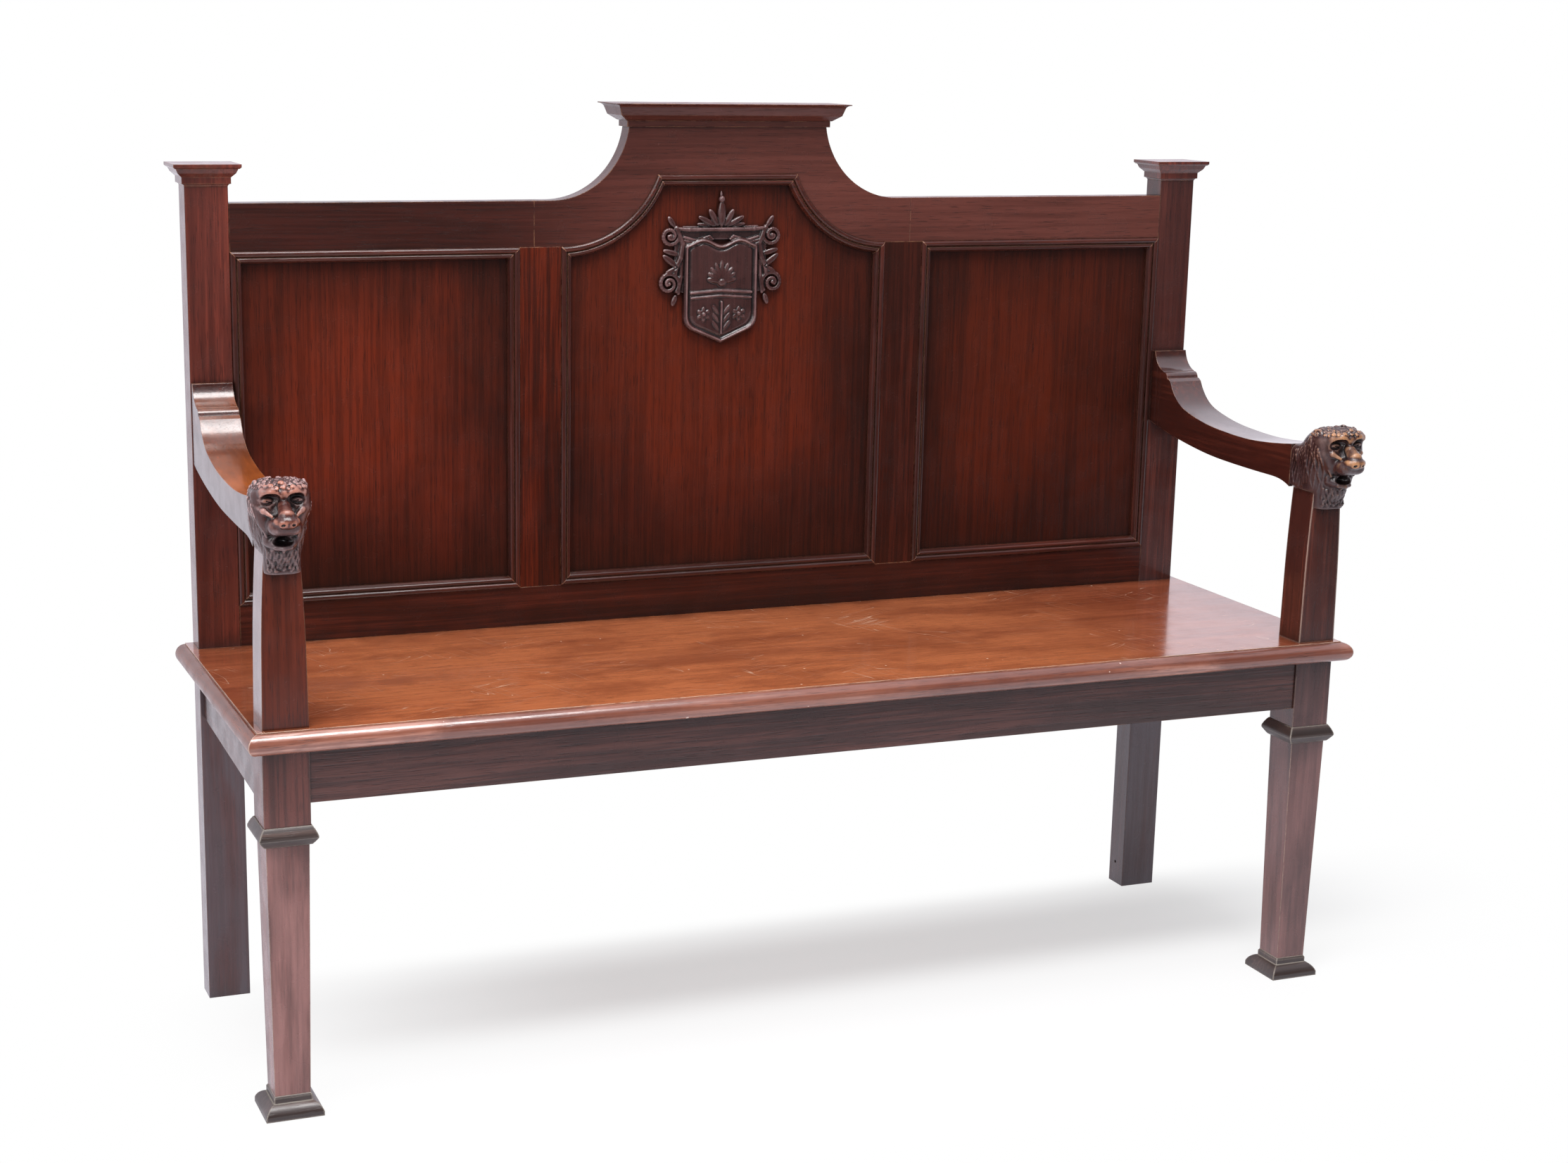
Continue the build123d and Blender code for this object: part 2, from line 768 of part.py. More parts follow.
def cartouche():
    """Shield with scrolls round it, carved from one board and glued to the centre panel."""
    middle = -cartouche_offset
    back = panel_set_back
    base = cartouche_base
    shoulder = base + shield_shoulder_rise
    top = base + shield_height
    half = shield_half_width
    flank = (half * 3 / 4, base + shield_shoulder_rise / 3)
    right = [(0, base), (flank, (half, shoulder)), (half, top - half / 6)]
    head = ((half / 2, top + half / 12), (0, top - half / 10))
    path = right + [head, ((-half / 2, top + half / 12), (-half, top - half / 6)), (-half, shoulder),
                    ((-flank[0], flank[1]), (0, base))]
    carving = front_solid(path, back - shield_depth, back)
    front = back - scroll_depth
    side = half + side_scroll_width
    bar = half + bar_overhang
    bar_top = top + bar_rise
    carving += block(-bar, bar, front, back, top - half / 6, bar_top)
    carving += block(-side, side, front, back, base + side_scroll_share * shield_height, top)
    carving += block(-finial_half_width, finial_half_width, front, back, top, top + finial_rise)
    carving += scroll_disc(0, bar_top, leaf_fan_radius)
    volutes = [(upper_volute_radius, upper_volute_share), (lower_volute_radius, lower_volute_share)]
    for radius, share in volutes:
        across = side + volute_shift_share * radius
        for way in (1, -1):
            carving += scroll_disc(way * across, base + share * shield_height, radius)
    return Pos(middle, 0, 0) * carving


# Seat


def nosing_section(base, out):
    """Half-round edge of the seat, drawn outwards from the seat board."""
    top = seat_height - nosing_drop
    tip = base + out * nosing_width
    return [(base, seat_bottom), (base, top), ((tip, (seat_bottom + top) / 2), (base, seat_bottom))]


def seat_board():
    """Seat board, notched round the back posts."""
    x = seat_half_length
    notch_out = post_outer + glue_gap
    notch_in = post_inner - glue_gap
    right = [(x, -seat_front), (x, post_depth), (notch_out, post_depth), (notch_out, -glue_gap),
             (notch_in, -glue_gap), (notch_in, post_depth)]
    left = [(-place, y) for place, y in reversed(right)]
    board = plan_solid(right + left, seat_bottom, seat_height)
    for cut in [support_dowel(tenon_gap)] + [screw(*place, gap=screw_gap) for place in screw_places()]:
        board = board - cut - flipped(cut)
    return board


def nosing_front():
    """Front edge of the seat, mitred at both corners."""
    reach = nosing_width + overrun
    x = seat_half_length
    y = -seat_front
    strip = side_solid(nosing_section(y, -1), -x - nosing_width, x + nosing_width)
    wedge = [(-x, y), (x, y), (x + reach, y - reach), (-x - reach, y - reach)]
    return strip & plan_solid(wedge, seat_bottom, seat_height)


def nosing_end():
    """Right edge of the seat, mitred at the front."""
    reach = nosing_width + overrun
    x = seat_half_length
    y = -seat_front
    strip = front_solid(nosing_section(x, 1), y - nosing_width, post_depth)
    wedge = [(x, y), (x + reach, y - reach), (x + reach, post_depth), (x, post_depth)]
    return strip & plan_solid(wedge, seat_bottom, seat_height)


def front_seat_rail():
    """Front rail, tenoned into the front legs."""
    face = -(leg_front - front_rail_inset)
    rail = block(-leg_inner, leg_inner, face, face + rail_thickness, seat_rail_bottom, seat_bottom)
    rail = rail + front_rail_tenon() + flipped(front_rail_tenon())
    cut = bearer(tenon_gap)
    return rail - cut - flipped(cut)


def back_seat_rail():
    """Back rail under the seat, tenoned into the posts."""
    rail = block(-post_inner, post_inner, back_rail_set_back, back_rail_set_back + rail_thickness,
                 seat_rail_bottom, seat_bottom)
    rail = rail + back_rail_tenon() + flipped(back_rail_tenon())
    cut = bearer(tenon_gap)
    return rail - cut - flipped(cut)


def side_rail():
    """Right side rail."""
    front, rear = side_rail_tenons()
    return plan_solid(side_rail_path(0, rail_thickness), seat_rail_bottom, seat_bottom) + front + rear


def bearer(gap=0.0):
    """Right cross bearer, housed in the front and back rails."""
    front = -(leg_front - front_rail_inset) + rail_thickness - bearer_housing
    rear = back_rail_set_back + bearer_housing
    half = bearer_width / 2
    return block(bearer_place - half - gap, bearer_place + half + gap, front - gap, rear + gap,
                 seat_bottom - bearer_height - gap, seat_bottom)


def bored(piece):
    """A piece with the holes for the seat screws."""
    for place in screw_places():
        piece -= screw(*place, gap=screw_gap)
    return piece


def corner_block_paths():
    """Plans of the two right corner blocks."""
    size = corner_block_leg
    rail_face = -(leg_front - front_rail_inset) + rail_thickness
    side_face = min(x for x, _ in side_rail_path(rail_thickness, rail_thickness)) - corner_block_gap
    front = [(leg_inner - size, rail_face), (leg_inner, rail_face), (leg_inner, -leg_back),
             (side_face, -leg_back), (side_face, -leg_back + size)]
    rear = [(post_inner - size, back_rail_set_back), (post_inner, back_rail_set_back), (post_inner, 0),
            (side_face, 0), (side_face, -size)]
    return front, rear


def corner_blocks():
    """The four corner blocks glued inside the seat frame."""
    blocks = []
    for path in corner_block_paths():
        piece = bored(plan_solid(path, seat_bottom - corner_block_height, seat_bottom))
        blocks += [piece, flipped(piece)]
    return blocks


def screw_places():
    """Places of the right-hand seat screws, with the height of the face that each head is sunk in."""
    size = corner_block_leg
    front = (leg_inner - size / 4, -leg_back + size / 8)
    rear = (post_inner - size / 4, -size / 6)
    low_block = seat_bottom - corner_block_height
    low_bearer = seat_bottom - bearer_height
    depth = leg_front / 4
    return [(*front, low_block), (*rear, low_block),
            (bearer_place, -depth, low_bearer), (bearer_place, -leg_front + depth, low_bearer)]


def screw(x, y, low, gap=0.0):
    """A countersunk screw driven up into the seat."""
    tip = seat_bottom + screw_bite
    shank = peg(x, y, low, tip + gap, screw_radius + gap)
    head = Cone(screw_head_radius + gap, screw_radius + gap, screw_head_height)
    return shank + Pos(x, y, low + screw_head_height / 2) * head


def seat_screws():
    """All the seat screws, as separate solids."""
    screws = [screw(*place) for place in screw_places()]
    return screws + [flipped(one) for one in screws]


# Front legs


def leg_taper():
    """Outline of the tapered lower leg: reach beyond the square against height."""
    return [(-leg_foot_taper, foot_height), (-leg_step, collar_bottom)]


def front_leg():
    """Right front leg: a square block above a tapered square shaft."""
    upper = eased_block(leg_inner, leg_outer, -leg_front, -leg_back, collar_bottom, seat_bottom)
    lower = moulded_block(leg_inner, leg_outer, -leg_front, -leg_back, leg_taper())
    leg = upper + lower - side_rail_tenons(tenon_gap)[0]
    for tenon in (front_rail_tenon, support_dowel, foot_peg):
        leg -= tenon(tenon_gap)
    return leg


def leg_collar():
    """Moulded collar round the right front leg."""
    edge = collar_bottom + collar_lower_height
    upper = edge + collar_edge_height
    mid = collar_reach / 2
    lower_via = (mid - collar_lip / 2, collar_bottom + collar_lower_height / 3)
    upper_via = (mid + collar_lip * 2, upper + collar_upper_height * 2 / 5)
    profile = [
        (collar_lip, collar_bottom), (lower_via, (collar_reach, edge)),
        (collar_reach, upper), (upper_via, (collar_lip, collar_top)),
    ]
    ring = moulded_block(leg_inner, leg_outer, -leg_front, -leg_back, profile)
    hole = block(leg_inner - glue_gap, leg_outer + glue_gap, -leg_front - glue_gap, -leg_back + glue_gap,
                 collar_bottom - overrun, collar_top + overrun)
    return ring - hole


def leg_foot():
    """Plinth foot under the right front leg."""
    slope = foot_block_height + foot_slope_height
    ring = slope + foot_quirk_height
    neck = ring + foot_ring_height
    slope_end = -foot_ring_inset + foot_slope_bow
    via = ((foot_reach + slope_end) / 2 + foot_slope_bow, (foot_block_height + slope) / 2 + foot_slope_bow)
    profile = [
        (foot_reach, 0), (foot_reach, foot_block_height), (via, (slope_end, slope)),
        (-foot_ring_inset, slope), (-foot_ring_inset, neck), (-leg_foot_taper, foot_height),
    ]
    return moulded_block(leg_inner, leg_outer, -leg_front, -leg_back, profile) + foot_peg()


# Arms, supports and lion heads


def arm_point(along, up):
    """A point of the arm's top from its shares."""
    return -along * arm_front, arm_top + up * (arm_rear_top - arm_top)


def arm():
    """Right arm: a stepped, hollowed end at the post and a long sweep to the lion head."""
    ledge = [arm_point(*share) for share in arm_ledge_shares]
    cove = tuple(arm_point(*share) for share in arm_cove_shares)
    bead = [arm_point(*share) for share in arm_bead_shares]
    quirk = [arm_point(*share) for share in arm_quirk_shares]
    sweep = [arm_point(*share) for share in arm_sweep_shares]
    rise = arm_rear_bottom - arm_bottom
    under = [(-along * arm_front, arm_bottom + up * rise) for along, up in arm_under_shares]
    front = -arm_front
    path = [
        (0, arm_rear_bottom), (0, arm_rear_top), *ledge, cove, bead[0], (bead[1], bead[2]), *quirk,
        sweep + [(front, arm_neck_top)], (front, arm_neck_bottom), under + [(0, arm_rear_bottom)],
    ]
    beam = side_solid(path, post_inner + arm_inner_inset, post_outer - arm_outer_inset)
    return beam + arm_tenon() + neck_peg()


def arm_support():
    """Right arm support, which narrows towards the lion head."""
    waist = seat_height + support_waist_share * (arm_neck_bottom - seat_height)
    base, mid, top = support_half_base, support_waist_half, support_half_top
    swell = (waist + arm_neck_bottom) / 2
    x = leg_middle_x
    via_half = (mid + top) / 2
    path = [
        (x - base, seat_height), (x + base, seat_height), (x + mid, waist),
        ((x + via_half + (mid - top) / 8, swell), (x + top, arm_neck_bottom)), (x - top, arm_neck_bottom),
        ((x - via_half - (mid - top) / 8, swell), (x - mid, waist)),
    ]
    return front_solid(path, -support_front, -support_front + support_depth) + support_dowel() + support_peg()


def head_point(along, up):
    """A point of the lion head's profile from its shares."""
    return -(arm_front + along * (head_reach - arm_front)), beard_bottom + up * (head_top - beard_bottom)


def lion_head():
    """Right lion head, blocked in: profile, plan and front outline, with eyes and mouth."""
    x = head_middle
    back = -arm_front
    profile = [head_point(*share) for share in head_profile_shares]
    front = -support_front - beard_gap
    profile += [(front, beard_bottom), (front, arm_neck_bottom), (back, arm_neck_bottom)]
    head = side_solid(profile, x - head_half_width, x + head_half_width)
    plan = [(x + half * head_half_width, head_point(along, 0)[0]) for half, along in head_plan_shares]
    plan += [(2 * x - place, y) for place, y in reversed(plan)]
    face = [(x + half * head_half_width, head_point(0, up)[1]) for half, up in head_front_shares]
    face += [(2 * x - place, z) for place, z in reversed(face)]
    head = head & plan_solid(plan, beard_bottom, head_top) & front_solid(face, -head_reach, back)
    muzzle = -(arm_front + (head_reach - arm_front) * 4 / 5)
    mouth = beard_bottom + mouth_rise
    head -= block(x - mouth_width / 2, x + mouth_width / 2, muzzle - mouth_depth, muzzle + mouth_depth / 2,
                  mouth, mouth + mouth_height)
    eye = (-(head_reach - eye_set_back), beard_bottom + eye_rise)
    for side in (-1, 1):
        head -= Pos(x + side * eye_spread, *eye) * Sphere(eye_radius)
    return head - neck_peg(tenon_gap) - support_peg(tenon_gap)


def all_pieces():
    """Every piece of the bench, by name."""
    pieces = {
        "crest_rail": crest_rail(),
        "cornice_front": cornice_front(),
        "cornice_back": cornice_back(),
        "bottom_back_rail": bottom_back_rail(),
        "centre_panel": centre_panel(),
        "shield_cartouche": cartouche(),
        "seat_board": seat_board(),
        "seat_nosing_front": nosing_front(),
        "front_seat_rail": front_seat_rail(),
        "back_seat_rail": back_seat_rail(),
        "corner_blocks": corner_blocks(),
        "seat_screws": seat_screws(),
    }
    pairs = {
        "back_post": back_post(),
        "post_cap": post_cap(),
        "top_rail": top_rail(),
        "cornice_return": cornice_return(),
        "muntin": muntin(),
        "side_panel": side_panel(),
        "seat_nosing": nosing_end(),
        "side_rail": side_rail(),
        "cross_bearer": bored(bearer()),
        "front_leg": front_leg(),
        "leg_collar": leg_collar(),
        "leg_foot": leg_foot(),
        "arm": arm(),
        "arm_support": arm_support(),
        "lion_head": lion_head(),
    }
    for name, piece in pairs.items():
        pieces[name + "_right"] = piece
        pieces[name + "_left"] = flipped(piece)
    pieces["back_post_right"] = post_with_peg_hole()
    side = rectangle_sticks(muntin_outer, post_inner, panel_bottom, panel_top)
    other = {"top": "top", "bottom": "bottom", "left": "right", "right": "left"}
    for edge, stick in side.items():
        pieces["right_panel_moulding_" + edge] = stick
        pieces["left_panel_moulding_" + other[edge]] = flipped(stick)
    centre = rectangle_sticks(-centre_half_width, centre_half_width, panel_bottom, panel_top)
    for edge in ("bottom", "left", "right"):
        pieces["centre_panel_moulding_" + edge] = centre[edge]
    pieces["centre_panel_moulding_top"] = arch_top_stick()
    pieces["centre_panel_moulding_curve_right"] = arch_curved_stick()
    pieces["centre_panel_moulding_curve_left"] = flipped(arch_curved_stick())
    return pieces


def export_pieces():
    """Writes each piece to its own file, in the frame of the finished bench."""
    os.makedirs("parts", exist_ok=True)
    for name, piece in all_pieces().items():
        solids = piece if isinstance(piece, list) else [piece]
        moved = [placed * solid for group in solids for solid in group.solids()]
        shape = moved[0] if len(moved) == 1 else Compound(children=moved)
        export_step(shape, os.path.join("parts", name + ".step"))
        print(name, len(moved))


export_pieces()
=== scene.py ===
"""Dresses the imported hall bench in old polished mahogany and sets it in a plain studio."""

import logging
import math
import random
from dataclasses import dataclass, field, replace
from enum import Enum
from functools import reduce
from typing import Any, Optional, Union

import bpy
import numpy as np
from mathutils import Euler, Matrix, Vector


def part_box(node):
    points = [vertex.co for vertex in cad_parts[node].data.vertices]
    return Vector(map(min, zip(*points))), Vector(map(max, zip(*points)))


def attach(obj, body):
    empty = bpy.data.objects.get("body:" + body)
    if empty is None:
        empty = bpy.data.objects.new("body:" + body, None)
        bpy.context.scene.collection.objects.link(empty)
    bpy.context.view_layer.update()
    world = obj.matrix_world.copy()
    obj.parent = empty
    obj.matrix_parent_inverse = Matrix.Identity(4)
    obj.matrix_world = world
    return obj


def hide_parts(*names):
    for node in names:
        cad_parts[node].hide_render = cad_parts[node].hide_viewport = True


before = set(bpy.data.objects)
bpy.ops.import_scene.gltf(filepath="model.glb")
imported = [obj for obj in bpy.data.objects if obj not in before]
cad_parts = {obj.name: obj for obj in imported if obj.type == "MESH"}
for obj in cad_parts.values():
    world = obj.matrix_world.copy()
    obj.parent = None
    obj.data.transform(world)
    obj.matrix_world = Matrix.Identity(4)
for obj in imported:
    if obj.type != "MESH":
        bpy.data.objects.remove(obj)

logging.basicConfig(level=logging.INFO, format="%(message)s")
log = logging.getLogger("hall_bench")

RGB = tuple[float, float, float]
Point = tuple[float, float, float]
Socket = bpy.types.NodeSocket
Operand = Union[float, Socket]

# The photograph's frame, in pixels
IMAGE_WIDTH = 2228
IMAGE_HEIGHT = 1652
# Values that a noise pattern mostly keeps between
CLOUD_RANGE = (0.3, 0.7)
WHITE: RGB = (1.0, 1.0, 1.0)
# Dark colours of dirt in pores and grain, and of old residue with painted shade in the corners of polished
# pieces and in the hollows of carved ones
OLD_DIRT_AND_SHADE: RGB = (0.012, 0.006, 0.005)
HOLLOW_DIRT_AND_SHADE: RGB = (0.010, 0.006, 0.006)
# Depth of the grain in polished wood, in metres
GRAIN_DEPTH = 0.00015
COAT_ROUGHNESS = 0.12
# A millimetre in metres, and the shapes that lay X, Y and Z along a clay block's grid
MM = 0.001
GRID_AXES = ((-1, 1, 1), (1, -1, 1), (1, 1, -1))
# Distance that an empty clay block holds, and the reach over which its relief is measured, in millimetres
EMPTY_DEPTH = 12.0
RELIEF_REACH = 2.2
# Steps after which a ray through the clay is given up
RAY_STEPS = 400


class GrainRun(Enum):
    """The direction that the grain of a board runs in, as turns about X, Y and Z that lay it along X."""

    LENGTHWISE = (0.0, 0.0, 0.0)
    UPRIGHT = (0.0, math.pi / 2, 0.0)
    FRONT_TO_BACK = (0.0, 0.0, math.pi / 2)


class NodeBench:
    """Adds and joins the nodes of one node tree."""

    def __init__(self, tree: bpy.types.NodeTree) -> None:
        """Starts work on a tree."""
        self.tree = tree

    def add(self, kind: str, inputs: Optional[dict] = None, **settings: Any) -> Any:
        """Adds a node.

        Args:
            kind: the node's type name.
            inputs: a value or a socket for its inputs, by name or number.
            settings: the node's own properties.

        Returns:
            The new node.
        """
        node = self.tree.nodes.new(kind)
        for key, value in settings.items():
            setattr(node, key, value)
        for key, value in (inputs or {}).items():
            if isinstance(value, Socket):
                self.tree.links.new(value, node.inputs[key])
            else:
                node.inputs[key].default_value = value
        return node

    def maths(self, operation: str, first: Operand, second: Operand = 0.0, clamp: bool = False) -> Socket:
        """The result of one sum on two numbers, kept between 0 and 1 if it is clamped."""
        node = self.add("ShaderNodeMath", {0: first, 1: second}, operation=operation, use_clamp=clamp)
        return node.outputs[0]

    def plus(self, first: Operand, second: Operand) -> Socket:
        """The sum of two numbers."""
        return self.maths("ADD", first, second)

    def minus(self, first: Operand, second: Operand) -> Socket:
        """The difference of two numbers."""
        return self.maths("SUBTRACT", first, second)

    def most(self, first: Operand, second: Operand) -> Socket:
        """The larger of two numbers."""
        return self.maths("MAXIMUM", first, second)

    def times(self, *numbers: Operand) -> Socket:
        """The product of two or more numbers."""
        return reduce(lambda one, two: self.maths("MULTIPLY", one, two), numbers)

    def vector(self, operation: str, first: Any, second: Any = (0.0, 0.0, 0.0), result: int = 0) -> Socket:
        """The result of one sum on two places: 0 for a place, 1 for a number."""
        return self.add("ShaderNodeVectorMath", {0: first, 1: second}, operation=operation).outputs[result]

    def axis(self, place: Socket, key: str) -> Socket:
        """One of the three numbers of a place."""
        return self.add("ShaderNodeSeparateXYZ", {0: place}).outputs[key]

    def span(self, value: Socket, low: Operand, high: Operand, to_low: Operand = 0.0,
             to_high: Operand = 1.0) -> Socket:
        """Maps the range from low to high smoothly on the range from to_low to to_high."""
        ends = {0: value, 1: low, 2: high, 3: to_low, 4: to_high}
        return self.add("ShaderNodeMapRange", ends, interpolation_type="SMOOTHSTEP").outputs[0]

    def blend(self, share: Operand, first: Any, second: Any) -> Socket:
        """Blends two colours by the share of the second."""
        first, second = ((*end, 1.0) if isinstance(end, tuple) else end for end in (first, second))
        return self.add("ShaderNodeMix", {0: share, 6: first, 7: second}, data_type="RGBA").outputs[2]

    def noise(self, place: Socket, scale: Operand, detail: float = 2.0, roughness: float = 0.5,
              along: float = 1.0) -> Socket:
        """A cloudy pattern.

        Args:
            place: where on the surface.
            scale: how many clouds to the metre.
            detail: how much fine detail.
            roughness: how strong the detail is.
            along: how densely the clouds follow each other along X, against the other directions.

        Returns:
            The pattern as a number about one half.
        """
        if along != 1.0:
            place = self.vector("MULTIPLY", place, (along, 1.0, 1.0))
        settings = {"Vector": place, "Scale": scale, "Detail": detail, "Roughness": roughness}
        return self.add("ShaderNodeTexNoise", settings).outputs[0]

    def cloud(self, place: Socket, scale: float, low: float, high: float, detail: float = 3.0) -> Socket:
        """A cloudy pattern between two levels."""
        return self.span(self.noise(place, scale, detail), *CLOUD_RANGE, low, high)


def emptied(owner: Union[bpy.types.Material, bpy.types.World]) -> NodeBench:
    """Clears the nodes of a material or a world.

    Args:
        owner: the material or world.

    Returns:
        The bench for its new nodes.
    """
    owner.use_nodes = True
    owner.node_tree.nodes.clear()
    return NodeBench(owner.node_tree)


@dataclass
class Effects:
    """The shader node groups that the finishes share.

    Attributes:
        made: the groups by name.
    """

    made: dict[str, bpy.types.NodeTree] = field(default_factory=dict)

    def start(self, name: str, inputs: dict[str, Optional[float]]) -> tuple[NodeBench, dict[str, Socket]]:
        """Starts a node group.

        Args:
            name: the group's name.
            inputs: the value that each input starts with, by name; None makes a vector.

        Returns:
            The bench for its nodes, and its inputs by name.
        """
        tree = bpy.data.node_groups.new(name, "ShaderNodeTree")
        for key, value in inputs.items():
            kind = "NodeSocketVector" if value is None else "NodeSocketFloat"
            socket = tree.interface.new_socket(name=key, in_out="INPUT", socket_type=kind)
            if value is not None:
                socket.default_value = value
        self.made[name] = tree
        return NodeBench(tree), {socket.name: socket for socket in tree.nodes.new("NodeGroupInput").outputs}

    def end(self, bench: NodeBench, **results: Socket) -> None:
        """Ends a node group.

        Args:
            bench: the bench of its nodes.
            results: what feeds each of its outputs, by the output's name.
        """
        for name, socket in results.items():
            kind = "NodeSocketVector" if socket.type == "VECTOR" else "NodeSocketFloat"
            bench.tree.interface.new_socket(name=name, in_out="OUTPUT", socket_type=kind)
        bench.add("NodeGroupOutput", results)

    def grain(self) -> None:
        """Wood grain that runs along X: streaks, pores and the broad figure of the board."""
        bench, given = self.start("wood_grain", {"Place": None, "Seed": 0.0, "Wave": 0.02,
                                                 "Streaks per metre": 220.0})
        seed = bench.add("ShaderNodeCombineXYZ", {0: given["Seed"], 1: given["Seed"]}).outputs[0]
        place = bench.vector("ADD", given["Place"], seed)
        sway = bench.noise(bench.vector("MULTIPLY", place, (1.3, 5.0, 5.0)), 1.0)
        drift = bench.times(bench.minus(sway, 0.5), given["Wave"])
        push = bench.add("ShaderNodeCombineXYZ", {1: drift, 2: drift}).outputs[0]
        swayed = bench.vector("ADD", place, push)
        fine = bench.noise(swayed, given["Streaks per metre"], 4.0, 0.62, 0.022)
        pore = bench.noise(swayed, 900.0, 1.0, along=0.045)
        broad = bench.noise(swayed, 17.0, 3.0, 0.55, 0.14)
        self.end(bench, Streaks=bench.span(fine, 0.33, 0.67), Pores=bench.span(pore, 0.60, 0.70),
                 Figure=bench.span(broad, 0.32, 0.68))

    def edge_wear(self) -> None:
        """A mask of the worn outer edges, and the normal that rounds them."""
        bench, given = self.start("edge_wear", {"Place": None, "Reach": 0.002, "Breaks per metre": 55.0,
                                                "Bareness": 0.5})
        rounded = bench.add("ShaderNodeBevel", {"Radius": given["Reach"]}, samples=4).outputs[0]
        sharp = bench.add("ShaderNodeNewGeometry").outputs["Normal"]
        edge = bench.span(bench.vector("DOT_PRODUCT", rounded, sharp, 1), 0.995, 0.80)
        patches = bench.noise(given["Place"], given["Breaks per metre"], 5.0, 0.65)
        worn = bench.minus(patches, bench.times(bench.minus(1.0, given["Bareness"]), 0.62))
        self.end(bench, Wear=bench.maths("MULTIPLY", edge, bench.span(worn, 0.0, 0.22), True), Normal=rounded)

    def residue(self) -> None:
        """A mask of old polish residue and painted shade in the corners, by how closed in they are."""
        bench, given = self.start("corner_residue_and_shade", {"Place": None, "Reach": 0.03})
        shade = bench.add("ShaderNodeAmbientOcclusion", {"Distance": given["Reach"]}, samples=6)
        level = bench.plus(shade.outputs["AO"], bench.cloud(given["Place"], 26.0, -0.10, 0.10))
        self.end(bench, Residue=bench.span(level, 0.95, 0.35))

    def scratches(self) -> None:
        """Fine scratches in several directions, in patches."""
        bench, given = self.start("scratches", {"Place": None, "Amount": 0.5})
        total: Operand = 0.0
        for turn, along, scale in ((0.35, 0.05, 60.0), (-0.5, 0.04, 75.0), (1.25, 0.06, 48.0)):
            moved = bench.vector("ADD", given["Place"], (3.7 * turn,) * 3)
            spun = bench.add("ShaderNodeMapping", {"Vector": moved, "Rotation": (0.0, 0.0, turn)}).outputs[0]
            line = bench.noise(spun, scale, 1.0, along=along)
            thin = bench.span(bench.maths("ABSOLUTE", bench.minus(line, 0.5)), 0.0045, 0.0)
            total = bench.most(total, bench.times(thin, bench.span(bench.noise(spun, 11.0), 0.52, 0.66)))
        self.end(bench, Scratches=bench.maths("MULTIPLY", total, given["Amount"], True))

    def nicks(self) -> None:
        """Small scattered chips and specks."""
        bench, given = self.start("nicks", {"Place": None, "Per metre": 60.0, "Size": 0.16})
        cells = bench.add("ShaderNodeTexVoronoi", {"Vector": given["Place"], "Scale": given["Per metre"]})
        chance = bench.axis(cells.outputs["Color"], "X")
        size = bench.times(bench.span(chance, 0.72, 1.0), given["Size"])
        self.end(bench, Nicks=bench.span(bench.minus(size, cells.outputs["Distance"]), 0.0, 0.05))

    def painted_lit_middle(self) -> None:
        """A mask of painted light: 1 in the middle of a board, falling to 0 at its darker borders."""
        bench, given = self.start("painted_lit_middle", {"Place": None, "Middle": None, "Half size": None,
                                                  "Fade": 0.1})
        away = bench.vector("ABSOLUTE", bench.vector("SUBTRACT", given["Place"], given["Middle"]))
        left = bench.vector("SUBTRACT", given["Half size"], away)
        tall = bench.vector("MULTIPLY", given["Place"], (1.0, 1.0, 0.6))
        ragged = bench.cloud(tall, 9.0, -0.03, 0.03, 4.0)
        fades = [bench.span(bench.plus(bench.axis(left, key), ragged), 0.0, given["Fade"]) for key in "XZ"]
        self.end(bench, Glow=bench.times(*fades))

    def build(self) -> None:
        """Builds every group."""
        for make in (self.grain, self.edge_wear, self.residue, self.scratches, self.nicks, self.painted_lit_middle):
            make()
        log.info("effects: %s", ", ".join(sorted(self.made)))

    def use(self, bench: NodeBench, name: str, place: Socket, **values: Any) -> dict[str, Socket]:
        """Places a group in a material.

        Args:
            bench: the material's bench.
            name: the group's name.
            place: the place on the surface.
            values: the other inputs, with underscores for spaces.

        Returns:
            The group's outputs by name.
        """
        inputs = {key.replace("_", " ").capitalize(): value for key, value in values.items()}
        node = bench.add("ShaderNodeGroup", {"Place": place, **inputs}, node_tree=self.made[name])
        return {socket.name: socket for socket in node.outputs}


@dataclass(frozen=True)
class Glow:
    """Painted light and shade on a board: a lighter middle and a darker border.

    Attributes:
        middle: its middle.
        half_size: its half width, depth and height.
        fade: how wide the darker border is.
    """

    middle: Point
    half_size: Point
    fade: float


@dataclass(frozen=True)
class PaintedFloorReflection:
    """A painted reflection of the pale floor low on a leg: a grey veil.

    Attributes:
        colour: its colour.
        low: height up to which it is full, in metres.
        high: height at which it ends, in metres.
        strength: how much it hides.
    """

    colour: RGB
    low: float
    high: float
    strength: float


@dataclass(frozen=True)
class Finish:
    """A finish.

    Attributes:
        name: its name.
        slot: the record's material slot; not used.
    """

    name: str
    slot: str

    def shader(self, bench: NodeBench, effects: Effects, place: Socket) -> Socket:
        """Lays out the nodes of the finish.

        Args:
            bench: the bench for the nodes.
            effects: the shared effects.
            place: the place on the piece.

        Returns:
            The shader.
        """
        raise NotImplementedError

    def material(self, effects: Effects) -> bpy.types.Material:
        """Makes the finish.

        Args:
            effects: the shared effects.

        Returns:
            The material.
        """
        made = bpy.data.materials.new(self.name)
        bench = emptied(made)
        shader = self.shader(bench, effects, bench.add("ShaderNodeTexCoord").outputs["Object"])
        bench.add("ShaderNodeOutputMaterial", {"Surface": shader})
        return made


